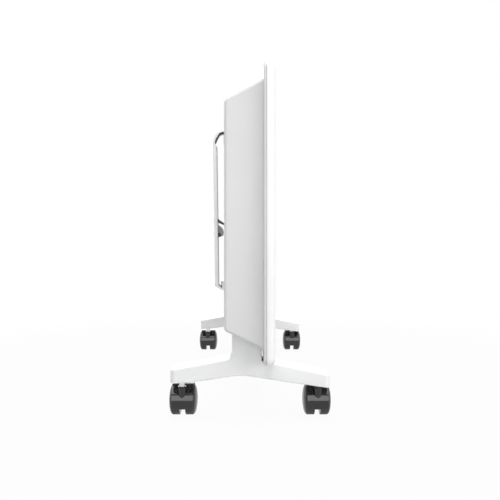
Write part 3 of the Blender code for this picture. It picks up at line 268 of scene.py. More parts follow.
panelEnamel = surface("panelEnamel", {
    "colour": (0.93, 0.93, 0.93), "rough": 0.24, "coat": 0.15, "coatRough": 0.08, "ior": 1.5,
    "mottle": 0.015, "mottleSize": 0.12, "scuff": 0.03, "scuffSize": 0.03,
    "grain": 0.05, "grainSize": 0.0016})
casingEnamel = surface("casingEnamel", {
    "colour": (0.75, 0.75, 0.75), "rough": 0.38, "mottle": 0.02, "mottleSize": 0.07,
    "scuff": 0.04, "scuffSize": 0.02, "grain": 0.10, "grainSize": 0.0011})
bracketPaint = surface("bracketPaint", {
    "colour": (0.92, 0.92, 0.92), "rough": 0.30, "mottle": 0.015, "mottleSize": 0.03,
    "scuff": 0.015, "scuffSize": 0.01, "grain": 0.05, "grainSize": 0.0010})
legMoulded = surface("legMoulded", {
    "colour": (0.91, 0.915, 0.92), "rough": 0.36, "mottle": 0.02, "mottleSize": 0.04,
    "scuff": 0.05, "scuffSize": 0.012, "grain": 0.12, "grainSize": 0.0006})
controlMoulded = surface("controlMoulded", {
    "colour": (0.80, 0.81, 0.81), "rough": 0.40, "mottle": 0.02, "mottleSize": 0.02,
    "scuff": 0.05, "scuffSize": 0.006, "grain": 0.18, "grainSize": 0.0004})
hoodBlack = surface("hoodBlack", {
    "colour": (0.007, 0.007, 0.0075), "rough": 0.10, "coat": 0.2, "coatRough": 0.04, "mottle": 0.15,
    "mottleSize": 0.01, "scuff": 0.03, "scuffSize": 0.004, "grain": 0.03, "grainSize": 0.0009})
wheelBlack = surface("wheelBlack", {
    "colour": (0.011, 0.011, 0.0115), "rough": 0.16, "mottle": 0.2, "mottleSize": 0.008,
    "scuff": 0.06, "scuffSize": 0.003, "grain": 0.05, "grainSize": 0.0007})
treadRubber = surface("treadRubber", {
    "colour": (0.030, 0.029, 0.028), "rough": 0.48, "mottle": 0.35, "mottleSize": 0.004,
    "scuff": 0.12, "scuffSize": 0.002, "grain": 0.25, "grainSize": 0.0005})
# painted shade: a black rubber for the pads under the hooks and the strips in the bracket's steps, set where
# there is only shade
paintedShadeRubber = surface("paintedShadeRubber", {
    "colour": (0.022, 0.022, 0.022), "rough": 0.60, "mottle": 0.3, "mottleSize": 0.004,
    "scuff": 0.1, "scuffSize": 0.002, "grain": 0.3, "grainSize": 0.0004})
blackMoulded = surface("blackMoulded", {
    "colour": (0.024, 0.024, 0.025), "rough": 0.38, "mottle": 0.2, "mottleSize": 0.006,
    "scuff": 0.08, "scuffSize": 0.003, "grain": 0.2, "grainSize": 0.0004})
greyMoulded = surface("greyMoulded", {
    "colour": (0.38, 0.38, 0.385), "rough": 0.40, "mottle": 0.12, "mottleSize": 0.006,
    "scuff": 0.06, "scuffSize": 0.003, "grain": 0.2, "grainSize": 0.0004})
innerGrey = surface("innerGrey", {
    "colour": (0.30, 0.31, 0.32), "rough": 0.50, "mottle": 0.1, "mottleSize": 0.01,
    "scuff": 0.06, "scuffSize": 0.004, "grain": 0.2, "grainSize": 0.0005})
terminalNylon = surface("terminalNylon", {
    "colour": (0.72, 0.71, 0.66), "rough": 0.50, "mottle": 0.06, "mottleSize": 0.006,
    "scuff": 0.06, "scuffSize": 0.003, "grain": 0.15, "grainSize": 0.0005})
stemChrome = surface("stemChrome", {
    "colour": (0.72, 0.72, 0.74), "rough": 0.10, "metal": 1.0, "mottle": 0.06, "mottleSize": 0.004,
    "scuff": 0.05, "scuffSize": 0.002, "grain": 0.04, "grainSize": 0.0006, "stretch": (1.0, 1.0, 8.0)})
# painted reflection: a dark metal for the stem collar, standing in for chrome that mirrors the black hood
# below
collarPaintedReflection = surface("collarPaintedReflection", {
    "colour": (0.06, 0.06, 0.062), "rough": 0.18, "metal": 1.0, "mottle": 0.1, "mottleSize": 0.003,
    "scuff": 0.05, "scuffSize": 0.0015, "grain": 0.05, "grainSize": 0.0005})
zincPlate = surface("zincPlate", {
    "colour": (0.60, 0.60, 0.62), "rough": 0.28, "metal": 1.0, "mottle": 0.15, "mottleSize": 0.003,
    "scuff": 0.08, "scuffSize": 0.0015, "grain": 0.08, "grainSize": 0.0005})
innerSteel = surface("innerSteel", {
    "colour": (0.52, 0.52, 0.53), "rough": 0.42, "metal": 1.0, "mottle": 0.2, "mottleSize": 0.012,
    "scuff": 0.1, "scuffSize": 0.004, "grain": 0.12, "grainSize": 0.0007, "stretch": (0.2, 1.0, 1.0)})
finAluminium = surface("finAluminium", {
    "colour": (0.66, 0.66, 0.67), "rough": 0.36, "metal": 1.0, "mottle": 0.1, "mottleSize": 0.01,
    "scuff": 0.08, "scuffSize": 0.002, "grain": 0.15, "grainSize": 0.0006, "stretch": (0.06, 1.0, 1.0)})
insulatorCeramic = surface("insulatorCeramic", {
    "colour": (0.74, 0.70, 0.60), "rough": 0.62, "mottle": 0.1, "mottleSize": 0.003,
    "scuff": 0.06, "scuffSize": 0.002, "grain": 0.25, "grainSize": 0.0004})
lampLens = surface("lampLens", {
    "colour": (0.55, 0.02, 0.015), "rough": 0.10, "coat": 0.5, "mottle": 0.2, "mottleSize": 0.002,
    "scuff": 0.04, "scuffSize": 0.001, "grain": 0.05, "grainSize": 0.0005})
markInk = surface("markInk", {
    "colour": (0.10, 0.10, 0.105), "rough": 0.45, "mottle": 0.15, "mottleSize": 0.002,
    "scuff": 0.06, "scuffSize": 0.001, "grain": 0.1, "grainSize": 0.0003})
signInk = surface("signInk", {
    "colour": (0.72, 0.72, 0.72), "rough": 0.45, "mottle": 0.08, "mottleSize": 0.002,
    "scuff": 0.06, "scuffSize": 0.001, "grain": 0.1, "grainSize": 0.0003})
print("finishes made:", len(bpy.data.materials))


# front panel: one pressed sheet, hemmed behind, with the outlet window

panelLook = {"wall": 0.0014, "corner": 0.012, "frontRound": 0.0095, "steps": 12, "hem": 0.012,
             "windowWidth": 0.500, "windowHeight": 0.034, "windowDrop": 0.030, "windowDeep": 0.006,
             "screwSpread": 0.200, "screwInset": 0.010, "screwHole": 0.0021, "screwDeep": 0.005,
             "holeSteps": 16, "cutEase": 0.00015, "cutSegments": 2, "cutAngle": 50, "grilleEase": 0.00025}
low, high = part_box("front_panel")
bm = bmesh.new()
block(bm, low, high)
rounding(bm, edgesAlong(bm, 1), panelLook["corner"], panelLook["steps"])
rounding(bm, edgesAt(bm, 1, low.y), panelLook["frontRound"], panelLook["steps"])
back = max((face for face in bm.faces if face.normal.y > 0.999), key=lambda face: face.calc_area())
bmesh.ops.inset_region(bm, faces=[back], thickness=panelLook["hem"], use_even_offset=True)
bmesh.ops.delete(bm, geom=[back], context="FACES")
panelSheet = draft("panelSheet", bm)
hollow(panelSheet, panelLook["wall"])
screwRows = (low.z + panelLook["screwInset"], high.z - panelLook["screwInset"])
bm = bmesh.new()
windowTop = high.z - panelLook["windowDrop"]
halfWindow = panelLook["windowWidth"] / 2
block(bm, (-halfWindow, low.y - cutPast, windowTop - panelLook["windowHeight"]),
      (halfWindow, low.y + panelLook["windowDeep"], windowTop))
for side in (-1, 1):
    for z in screwRows:
        rod(bm, panelLook["screwHole"], high.y - panelLook["screwDeep"], high.y + cutPast,
            (side * panelLook["screwSpread"], 0, z), "Y", panelLook["holeSteps"])
carve(panelSheet, bm)
soften(panelSheet, panelLook["cutEase"], panelLook["cutSegments"], panelLook["cutAngle"])
finish(panelSheet, panelEnamel, "heater", "panel_enamel", "front_panel")

grillePiece = copied("outletGrille", "outlet_grille", panelLook["grilleEase"])
finish(grillePiece, blackMoulded, "heater", "grille_plastic", "outlet_grille")
print("front panel made")


# rear casing: a drawn shell with a flat flange behind the front panel

casingLook = {"wall": 0.0012, "round": 0.0045, "steps": 8, "inset": 0.016, "drop": 0.019, "flange": 0.0037,
              "corner": 0.011, "cornerSteps": 12, "flangeEase": 0.0018, "flangeSteps": 5, "frontEase": 0.0002,
              "topFall": 0.0292, "footRise": 0.0262, "lip": 0.0022, "lipSteps": 4, "slotWidth": 0.006,
              "slotLength": 0.034, "slotPitch": 0.016, "slotCount": 22, "slotEnd": 0.98, "slotSteps": 5}
low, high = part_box("rear_casing")
sheet = casingLook["wall"]
halfCasing = high.x - casingLook["inset"]
mouthY = low.y + casingLook["flange"]
footZ = low.z + casingLook["drop"]
topZ = high.z - casingLook["drop"]
footSlope = casingLook["footRise"] / (high.y - mouthY)
topSlope = casingLook["topFall"] / (high.y - mouthY)
sunk = mouthY - sheet / 2
bm = bmesh.new()
block(bm, (-halfCasing, sunk, footZ - sheet / 2 * footSlope),
      (halfCasing, high.y, topZ + sheet / 2 * topSlope))
middleY, middleZ = (mouthY + high.y) / 2, (footZ + topZ) / 2
for vert in bm.verts:
    if vert.co.y > middleY:
        vert.co.z = footZ + casingLook["footRise"] if vert.co.z < middleZ else topZ - casingLook["topFall"]
mouthEdges = edgesAt(bm, 1, sunk)
rounding(bm, [edge for edge in bm.edges if edge not in mouthEdges], casingLook["round"], casingLook["steps"])
mouth = max((face for face in bm.faces if face.normal.y < -0.999), key=lambda face: face.calc_area())
bmesh.ops.delete(bm, geom=[mouth], context="FACES")
casingShell = draft("casingShell", bm)
hollow(casingShell, sheet)
bm = bmesh.new()
block(bm, (low.x, low.y, low.z), (high.x, mouthY, high.z))
rounding(bm, edgesAlong(bm, 1), casingLook["corner"], casingLook["cornerSteps"])
rounding(bm, edgesAt(bm, 1, mouthY), casingLook["flangeEase"], casingLook["flangeSteps"])
rounding(bm, edgesAt(bm, 1, low.y), casingLook["frontEase"], 1)
carve(casingShell, bm, "UNION")
bm = bmesh.new()
edge = casingLook["lip"]
block(bm, (-halfCasing + edge, low.y - cutPast, footZ + edge),
      (halfCasing - edge, mouthY + sheet, topZ - edge))
rounding(bm, edgesAlong(bm, 1), casingLook["round"] - sheet, casingLook["lipSteps"])
carve(casingShell, bm)
bm = bmesh.new()
tilt = Matrix.Rotation(math.atan(footSlope), 3, "X")
for index in range(casingLook["slotCount"]):
    slot = bmesh.new()
    block(slot, (-casingLook["slotWidth"] / 2, -casingLook["slotLength"] / 2, -cutPast),
          (casingLook["slotWidth"] / 2, casingLook["slotLength"] / 2, cutPast))
    rounding(slot, edgesAlong(slot, 2), casingLook["slotWidth"] / 2 * casingLook["slotEnd"],
             casingLook["slotSteps"])
    bmesh.ops.rotate(slot, verts=slot.verts, matrix=tilt, cent=(0, 0, 0))
    x = (index - (casingLook["slotCount"] - 1) / 2) * casingLook["slotPitch"]
    bmesh.ops.translate(slot, verts=slot.verts, vec=(x, middleY, footZ + (middleY - mouthY) * footSlope))
    held = bpy.data.meshes.new("slot")
    slot.to_mesh(held)
    bm.from_mesh(held)
    bpy.data.meshes.remove(held)
    slot.free()
holesLook = {"controlDepth": (-0.0079, 0.0247), "controlHeight": (0.2887, 0.4113),
             "glandPlace": (0.215, 0.150), "glandRadius": 0.0083, "posts": (-0.191, 0.191),
             "hookHalf": 0.0143, "hookHeight": (0.4105, 0.4206),
             "latchHalf": 0.0100, "latchHeight": (0.2712, 0.2780)}
block(bm, (halfCasing - sheet - cutPast, holesLook["controlDepth"][0], holesLook["controlHeight"][0]),
      (halfCasing + cutPast, holesLook["controlDepth"][1], holesLook["controlHeight"][1]))
rod(bm, holesLook["glandRadius"], high.y - sheet - cutPast, high.y + cutPast,
    (holesLook["glandPlace"][0], 0, holesLook["glandPlace"][1]), "Y")
for x in holesLook["posts"]:
    for part in ("hook", "latch"):
        half, (foot, top) = holesLook[part + "Half"], holesLook[part + "Height"]
        block(bm, (x - half, high.y - sheet - cutPast, foot), (x + half, high.y + cutPast, top))
for side in (-1, 1):
    for z in screwRows:
        rod(bm, panelLook["screwHole"], low.y - cutPast, mouthY + cutPast,
            (side * panelLook["screwSpread"], 0, z), "Y", panelLook["holeSteps"])
carve(casingShell, bm)
finish(casingShell, casingEnamel, "heater", "casing_enamel", "rear_casing")
print("rear casing made")


# control unit on the right side: face plate, knob, rocker and lamp

controlLook = {"plateLow": (0.3033, -0.0116, 0.285), "plateHigh": (0.3060, 0.0284, 0.415), "corner": 0.004,
               "cornerSteps": 8, "edgeRound": 0.0008, "edgeSteps": 3, "boxIn": 0.030, "lip": 0.004,
               "wall": 0.0018, "plate": 0.0022,
               "knobZ": 0.384, "switchZ": 0.338, "lampZ": 0.308, "shaftHole": 0.0033, "lampHole": 0.0033,
               "switchHalf": (0.0068, 0.0098)}
plateX = controlLook["plateHigh"][0]
plateY = (controlLook["plateLow"][1] + controlLook["plateHigh"][1]) / 2
bm = bmesh.new()
block(bm, controlLook["plateLow"], controlLook["plateHigh"])
rounding(bm, edgesAlong(bm, 0), controlLook["corner"], controlLook["cornerSteps"])
rounding(bm, edgesAt(bm, 0, plateX), controlLook["edgeRound"], controlLook["edgeSteps"])
controlFace = draft("controlFace", bm)
lowPlate, highPlate = Vector(controlLook["plateLow"]), Vector(controlLook["plateHigh"])
lip, wall = controlLook["lip"], controlLook["wall"]
backX = halfCasing - controlLook["boxIn"]
bm = bmesh.new()
block(bm, (backX, lowPlate.y + lip, lowPlate.z + lip),
      (plateX - controlLook["plate"] / 2, highPlate.y - lip, highPlate.z - lip))
carve(controlFace, bm, "UNION")
bm = bmesh.new()
block(bm, (backX - cutPast, lowPlate.y + lip + wall, lowPlate.z + lip + wall),
      (plateX - controlLook["plate"], highPlate.y - lip - wall, highPlate.z - lip - wall))
carve(controlFace, bm)
bm = bmesh.new()
rod(bm, controlLook["shaftHole"], -cutPast, cutPast, (plateX, plateY, controlLook["knobZ"]), "X")
rod(bm, controlLook["lampHole"], -cutPast, cutPast, (plateX, plateY, controlLook["lampZ"]), "X")
wide, tall = controlLook["switchHalf"]
block(bm, (plateX - cutPast, plateY - wide, controlLook["switchZ"] - tall),
      (plateX + cutPast, plateY + wide, controlLook["switchZ"] + tall))
carve(controlFace, bm)
finish(controlFace, controlMoulded, "heater", "control_plastic", "control_housing")

# growing heat marks round the knob, printed on the plate
markLook = {"count": 9, "start": -135.0, "end": 135.0, "radius": 0.0176, "length": 0.0013, "least": 0.0005,
            "most": 0.0014, "proud": 0.00006}
bm = bmesh.new()
for index in range(markLook["count"]):
    share = index / (markLook["count"] - 1)
    width = markLook["least"] + (markLook["most"] - markLook["least"]) * share
    corners = block(bm, (plateX, -width / 2, markLook["radius"]),
                    (plateX + markLook["proud"], width / 2, markLook["radius"] + markLook["length"]))
    angle = math.radians(markLook["start"] + (markLook["end"] - markLook["start"]) * share)
    bmesh.ops.rotate(bm, verts=corners, matrix=Matrix.Rotation(angle, 3, "X"), cent=(0, 0, 0))
    bmesh.ops.translate(bm, verts=corners, vec=(0, plateY, controlLook["knobZ"]))
finish(draft("heatMarks", bm), markInk, "heater", "switch_black")

knobLook = {"radius": 0.0155, "crownRadius": 0.0146, "height": 0.010, "edge": 0.0012, "edgeSteps": 4,
            "rimWidth": 0.003, "dish": 0.0004, "bore": 0.0033, "roof": 0.0081, "steps": 96,
            "gripCount": 30, "gripRadius": 0.0009, "gripDepth": 0.0005, "gripFoot": -0.002,
            "gripShort": 0.0022, "gripSteps": 12, "markWidth": 0.0011, "markLength": 0.0085,
            "markDepth": 0.0004, "markInset": 0.0016, "markPast": 0.002}
foot, top = touchGap, touchGap + knobLook["height"]
centre = (plateX, plateY, controlLook["knobZ"])
bm = bmesh.new()
turned(bm, [(knobLook["bore"], foot), (knobLook["radius"], foot), (knobLook["crownRadius"], top),
            (knobLook["crownRadius"] - knobLook["rimWidth"], top), (0.0, top - knobLook["dish"]),
            (0.0, knobLook["roof"]), (knobLook["bore"], knobLook["roof"])],
       centre, "X", knobLook["steps"], closed=True)
bmesh.ops.recalc_face_normals(bm, faces=bm.faces)
topRing = [edge for edge in bm.edges if all(abs(vert.co.x - plateX - top) < 1e-6 for vert in edge.verts)
           and all((Vector(vert.co[1:]) - Vector(centre[1:])).length > knobLook["crownRadius"] - 1e-4
                   for vert in edge.verts)]
rounding(bm, topRing, knobLook["edge"], knobLook["edgeSteps"])
knobPiece = draft("knobPiece", bm)
bm = bmesh.new()
ring = knobLook["radius"] + knobLook["gripRadius"] - knobLook["gripDepth"]
for index in range(knobLook["gripCount"]):
    angle = math.tau * (index + 0.5) / knobLook["gripCount"]
    rod(bm, knobLook["gripRadius"], knobLook["gripFoot"], knobLook["height"] - knobLook["gripShort"],
        (plateX, plateY + ring * math.cos(angle), controlLook["knobZ"] + ring * math.sin(angle)), "X",
        knobLook["gripSteps"])
carve(knobPiece, bm)
bm = bmesh.new()
halfMark = knobLook["markWidth"] / 2
markTop = controlLook["knobZ"] + knobLook["crownRadius"] - knobLook["markInset"]
markLow = (plateX + top - knobLook["markDepth"] * 2, plateY - halfMark, markTop - knobLook["markLength"])
block(bm, markLow, (plateX + top + knobLook["markPast"], plateY + halfMark, markTop))
carve(knobPiece, bm)
finish(knobPiece, controlMoulded, "knob", "control_plastic", "thermostat_knob")
bm = bmesh.new()
block(bm, markLow, (plateX + top - knobLook["markDepth"], plateY + halfMark, markTop))
finish(draft("knobMark", bm), markInk, "knob", "control_plastic")

switchLook = {"ease": 0.0003}
framePiece = copied("switchFrame", "switch_frame", switchLook["ease"])
finish(framePiece, blackMoulded, "heater", "switch_black", "switch_frame")
rockerPiece = copied("switchRocker", "switch_rocker", switchLook["ease"])
finish(rockerPiece, blackMoulded, "rocker", "switch_black", "switch_rocker", angle=40)

# on and off marks, one on each face of the rocker
signLook = {"bar": (0.0005, 0.0030), "ring": 0.0015, "line": 0.0005, "proud": 0.00005, "steps": 32}
wideFaces = sorted((face for face in rockerPiece.data.polygons if face.normal.x > 0.7),
                   key=lambda face: face.area)[-2:]
bm = bmesh.new()
for face in wideFaces:
    proud = signLook["proud"]
    if face.center.z > controlLook["switchZ"]:
        made = block(bm, (-proud, -signLook["bar"][0] / 2, -signLook["bar"][1] / 2),
                     (proud, signLook["bar"][0] / 2, signLook["bar"][1] / 2))
    else:
        inner, outer = signLook["ring"] - signLook["line"], signLook["ring"]
        made = turned(bm, [(inner, -proud), (outer, -proud), (outer, proud), (inner, proud)],
                      (0, 0, 0), "X", signLook["steps"], closed=True)
    aim(bm, made, (1, 0, 0), face.normal)
    bmesh.ops.translate(bm, verts=made, vec=face.center)
finish(draft("rockerSigns", bm), signInk, "rocker", "switch_black")

# lamp: a lens with stepped rings
lampLook = {"radius": 0.003, "proud": 0.0012, "body": 0.0042, "depth": 0.0100, "plate": 0.0025,
            "shoulder": 0.0003, "shoulderShare": 0.85, "rings": 3, "ringInset": 0.0006, "ringWidth": 0.0004,
            "ringShare": 0.8, "steps": 40}
bm = bmesh.new()
foot = -lampLook["plate"]
profile = [(0.0, foot - lampLook["depth"]), (lampLook["body"], foot - lampLook["depth"]),
           (lampLook["body"], foot), (lampLook["radius"], foot), (lampLook["radius"], lampLook["proud"] / 2),
           (lampLook["radius"] - lampLook["shoulder"], lampLook["proud"] * lampLook["shoulderShare"])]
for index in range(lampLook["rings"]):
    radius = (lampLook["radius"] - lampLook["ringInset"]) * (1 - index / lampLook["rings"])
    profile += [(radius, lampLook["proud"]),
                (radius - lampLook["ringWidth"], lampLook["proud"] * lampLook["ringShare"])]
profile.append((0.0, lampLook["proud"]))
turned(bm, profile, (plateX, plateY, controlLook["lampZ"]), "X", lampLook["steps"])
finish(draft("lampPiece", bm), lampLens, "heater", "lamp_lens", "power_lamp", angle=20)
print("control unit made")


# cord gland: a bushing with bend grooves in its nose

glandLook = {"bore": 0.0036, "radius": 0.008, "flange": 0.011, "flangeDepth": 0.003, "nose": 0.012,
             "tip": 0.0052, "ease": 0.0006, "inner": 0.0082, "grooves": 4, "grooveDepth": 0.0006,
             "grooveMouth": 0.0006, "grooveFoot": 0.0004, "lead": 0.6, "steps": 48}
low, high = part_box("cord_gland")
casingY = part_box("rear_casing")[1].y
outer = touchGap + glandLook["flangeDepth"]
ease, mouth, floorHalf = glandLook["ease"], glandLook["grooveMouth"], glandLook["grooveFoot"]
bore, barrel, flange = glandLook["bore"], glandLook["radius"], glandLook["flange"]
profile = [(bore, -glandLook["inner"]), (barrel, -glandLook["inner"]), (barrel, touchGap), (flange, touchGap),
           (flange, outer - ease), (flange - ease, outer), (barrel, outer)]
for index in range(glandLook["grooves"]):
    along = (index + glandLook["lead"]) / (glandLook["grooves"] + glandLook["lead"])
    radius = barrel + (glandLook["tip"] - barrel) * along
    at = outer + glandLook["nose"] * along
    profile += [(radius, at - mouth), (radius - glandLook["grooveDepth"], at - floorHalf),
                (radius - glandLook["grooveDepth"], at + floorHalf), (radius, at + mouth)]
profile += [(glandLook["tip"], outer + glandLook["nose"]), (bore, outer + glandLook["nose"])]
bm = bmesh.new()
turned(bm, profile, ((low.x + high.x) / 2, casingY, (low.z + high.z) / 2), "Y", glandLook["steps"],
       closed=True)
finish(draft("glandPiece", bm), blackMoulded, "heater", "switch_black", "cord_gland", angle=30)


# wall bracket: painted sheet with eased bends, black hook pads that paint the shade under the hooks, latches
# and their pegs

bracketLook = {"ease": 0.0005, "segments": 3, "angle": 20, "faceY": 0.0532, "faceZ": 0.1843, "lean": 0.014155,
               "shadePadEase": 0.0004, "blockEase": 0.0002, "camEase": 0.0003}
pegLook = {"heights": (0.2640, 0.2831), "radius": 0.0032, "head": 0.0012, "crown": 0.0004, "root": 0.0003,
           "steps": 32}
# outline and edges of the black strips that paint shade into the bracket's steps
stepShadeLook = {"outline": ((0.04780, 0.18603), (0.04290, 0.18177), (0.04290, 0.19140), (0.04370, 0.19140),
                         (0.04370, 0.18351), (0.04728, 0.18663)), "edges": (0.0137, 0.0097)}
pinLook = {"radius": 0.0018, "head": 0.0026, "rivet": 0.0008, "crown": 0.0004, "steps": 32}
bracketPiece = copied("bracketFrame", "wall_bracket", bracketLook["ease"], bracketLook["segments"],
                      bracketLook["angle"])
finish(bracketPiece, bracketPaint, "heater", "bracket_steel", "wall_bracket")
for side in ("left", "right"):
    # the black pad lines the hook's underside, painted shade where the hook is in its own shadow
    shadePadPiece = copied(f"hookPad_{side}", f"hook_pad_{side}", bracketLook["shadePadEase"])
    finish(shadePadPiece, paintedShadeRubber, "heater", "pad_rubber", f"hook_pad_{side}")
    blockPiece = copied(f"latchBlock_{side}", f"latch_block_{side}", bracketLook["blockEase"])
    finish(blockPiece, blackMoulded, "heater", "latch_black", f"latch_block_{side}")
    # the pegs' domed heads stand on the post's outer face
    low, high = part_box(f"latch_block_{side}")
    for index, height in enumerate(pegLook["heights"]):
        face = bracketLook["faceY"] + bracketLook["lean"] * (height - bracketLook["faceZ"])
        bm = bmesh.new()
        turned(bm, [(0.0, -pegLook["root"]), (pegLook["radius"], -pegLook["root"]),
                    (pegLook["radius"], pegLook["head"] - pegLook["crown"]),
                    (pegLook["radius"] - pegLook["crown"], pegLook["head"]), (0.0, pegLook["head"])],
               ((low.x + high.x) / 2, face, height), "Y", pegLook["steps"])
        finish(draft(f"pegHead_{side}_{index}", bm), zincPlate, "heater", "bracket_steel")
    # painted shade: a thin black strip lines the inner corner of the step under each post, down its slope and
    # up the foot's block
    turn = -1 if side == "left" else 1
    edges = sorted((low.x + high.x) / 2 + turn * edge for edge in stepShadeLook["edges"])
    bm = bmesh.new()
    slab(bm, stepShadeLook["outline"], *edges)
    finish(draft(f"stepStrip_{side}", bm), paintedShadeRubber, "heater", "pad_rubber")
    camPiece = copied(f"latchCam_{side}", f"latch_cam_{side}", bracketLook["camEase"])
    finish(camPiece, greyMoulded, f"latch_{side}", "latch_grey", f"latch_cam_{side}")
    low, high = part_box(f"latch_pin_{side}")
    reach = (high.x - low.x) / 2
    inner = reach - pinLook["rivet"]
    half = [(pinLook["radius"], inner), (pinLook["head"], inner), (pinLook["head"], reach - pinLook["crown"]),
            (pinLook["head"] - pinLook["crown"], reach), (0.0, reach)]
    bm = bmesh.new()
    turned(bm, [(radius, -along) for radius, along in reversed(half)] + half, (low + high) / 2, "X",
           pinLook["steps"])
    finish(draft(f"latchPin_{side}", bm), blackMoulded, "heater", "pin_black", f"latch_pin_{side}")
print("bracket made")


# legs: hollow mouldings, open underneath

legLook = {"spread": 0.260, "half": 0.020, "wall": 0.0026, "planRound": 0.008, "planSteps": 8,
           "rimRound": 0.0018, "rimSteps": 4, "rib": 0.0035, "socket": 0.0170, "openFrom": 0.044,
           "stemPlace": 0.097, "stemHole": 0.0043, "stemFrom": 0.030, "stemTop": 0.0658,
           "screwSpread": 0.016, "screwY": 0.002, "screwHole": 0.0021, "screwSteps": 16,
           "bends": (("rearRoot", 0.0030, 6), ("arch", 0.0085, 12), ("rearFlat", 0.0026, 5))}
corners = {"rearTipFoot": (0.112, 0.0527), "rearTipTop": (0.112, 0.0723), "rearRoot": (0.0290, 0.0872),
           "rearUpright": (0.0252, 0.0932), "frontRoot": (-0.0165, 0.0850), "frontTipTop": (-0.112, 0.0650),
           "frontTipFoot": (-0.112, 0.0467), "arch": (0.0120, 0.0652), "rearFlat": (0.0760, 0.0559)}


def underside(y):
    # height of the casing's sloping underside
    return footZ + (y - mouthY) * footSlope - touchGap


def lineAt(start, end, y):
    return start[1] + (end[1] - start[1]) * (y - start[0]) / (end[0] - start[0])


def rearTop(y):
    return lineAt(corners["rearRoot"], corners["rearTipTop"], y)


def frontTop(y):
    return lineAt(corners["frontRoot"], corners["frontTipTop"], y)


def edgesFrom(bm, corner):
    return [edge for edge in edgesAlong(bm, 0)
            if (Vector(edge.verts[0].co[1:]) - Vector(corner)).length < 1e-5]


screwTilt = math.atan(footSlope)
pocketDrop = legLook["wall"] / math.cos(screwTilt)
screwPoint = (legLook["screwY"], underside(legLook["screwY"]) - pocketDrop)
screwUp = Vector((0.0, -math.sin(screwTilt), math.cos(screwTilt)))
legPlaces = (("left", -legLook["spread"]), ("right", legLook["spread"]))
for side, x in legPlaces:
    rearY, frontY = corners["rearUpright"][0], corners["frontRoot"][0]
    outline = [corners["rearTipFoot"], corners["rearTipTop"], corners["rearRoot"], corners["rearUpright"],
               (rearY, underside(rearY)), (frontY, underside(frontY)), corners["frontRoot"],
               corners["frontTipTop"], corners["frontTipFoot"], corners["arch"], corners["rearFlat"]]
    bm = bmesh.new()
    half = legLook["half"]
    slab(bm, outline, x - half, x + half)
    for name, width, steps in legLook["bends"]:
        rounding(bm, edgesFrom(bm, corners[name]), width, steps)
    tips = [edge for place in (corners["rearTipTop"][0], corners["frontTipTop"][0])
            for edge in edgesAt(bm, 1, place) if edge in edgesAlong(bm, 2)]
    rounding(bm, tips, legLook["planRound"], legLook["planSteps"])
    tipCorners = [edge for name in ("rearTipFoot", "rearTipTop", "frontTipTop", "frontTipFoot")
                  for edge in edgesFrom(bm, corners[name])]
    level = edgesAlong(bm, 0)
    rims = [edge for edge in sharpEdges(bm, 30) if edge not in level] + tipCorners
    rounding(bm, rims, legLook["rimRound"], legLook["rimSteps"])
    legPiece = draft(f"legMoulding_{side}", bm)
    bm = bmesh.new()
    wall, mouthZ = legLook["wall"], legLook["openFrom"]
    inner = half - wall
    near, far = rearY + legLook["rib"], legLook["stemPlace"] - legLook["socket"] / 2
    slab(bm, [(near, mouthZ), (far, mouthZ), (far, rearTop(far) - wall), (near, rearTop(near) - wall)],
         x - inner, x + inner)
    near = frontY - legLook["rib"]
    slab(bm, [(near, mouthZ), (near, frontTop(near) - wall), (-far, frontTop(-far) - wall), (-far, mouthZ)],
         x - inner, x + inner)
    low, high = frontY + wall, rearY - wall
    slab(bm, [(low, mouthZ), (high, mouthZ), (high, underside(high) - pocketDrop),
              (low, underside(low) - pocketDrop)], x - inner, x + inner)
    carve(legPiece, bm)
    bm = bmesh.new()
    for y in (-legLook["stemPlace"], legLook["stemPlace"]):
        rod(bm, legLook["stemHole"], legLook["stemFrom"], legLook["stemTop"], (x, y, 0))
    for step in (-1, 1):
        hole = rod(bm, legLook["screwHole"], -cutPast, cutPast, (0, 0, 0), "Z", legLook["screwSteps"])
        aim(bm, hole, (0, 0, 1), screwUp)
        bmesh.ops.translate(bm, verts=hole, vec=(x + step * legLook["screwSpread"] / 2, *screwPoint))
    carve(legPiece, bm)
    finish(legPiece, legMoulded, "heater", "leg_plastic", f"leg_{side}")
print("legs made")


# casters: hood with web and stem housing, chrome stem, axle and two domed wheels

casterLook = {"trail": 0.020, "hub": 0.022, "half": 0.0155, "inner": 0.0226, "outer": 0.0241, "web": 0.0037,
              "sill": 0.0123, "openFrom": 205.0, "openTo": 372.0, "edge": 0.0009, "edgeSteps": 4, "steps": 96,
              "coarse": 8, "axleHole": 0.0023, "holeSteps": 24}
housingLook = {"radius": 0.0055, "point": 0.0225, "foot": 0.0340, "top": 0.0440, "ease": 0.0004,
               "bore": 0.0028, "boreFoot": 0.0317, "steps": 48}
# the stem's dark band of painted reflection reaches a little past the collar at both ends
stemLook = {"pin": 0.0025, "pinFoot": 0.0320, "collar": 0.0060, "collarTop": 0.0455, "collarEase": 0.0003,
            "paintedReflectionPast": 0.0002, "stem": 0.0040, "top": 0.0655, "topEase": 0.0006, "neckFrom": 0.0022,
            "neckDepth": 0.0004, "neckRises": (0.0002, 0.0010, 0.0012), "steps": 48}
# the ring and the cap are grooves in the wheel's dome, given as steps across and along
wheelLook = {"radius": 0.022, "gap": 0.0040, "tread": 0.0112, "dome": 0.0053, "edge": 0.0008,
             "edgeShare": 0.3, "domeSteps": 12, "bore": 0.0023, "axleEnd": 0.0118, "grooves": 3,
             "grooveWidth": 0.0007, "grooveDepth": 0.0004, "grooveFloor": 0.5, "treadDepth": 0.0011,
             "steps": 80, "ring": 0.0145,
             "ringGroove": ((0.0003, -0.00003), (0.00015, -0.0004), (-0.00015, -0.0004), (-0.0003, 0.00003)),
             "cap": 0.0052, "capGroove": ((0.0002, 0.0), (0.0, -0.0005), (-0.0002, 0.0))}


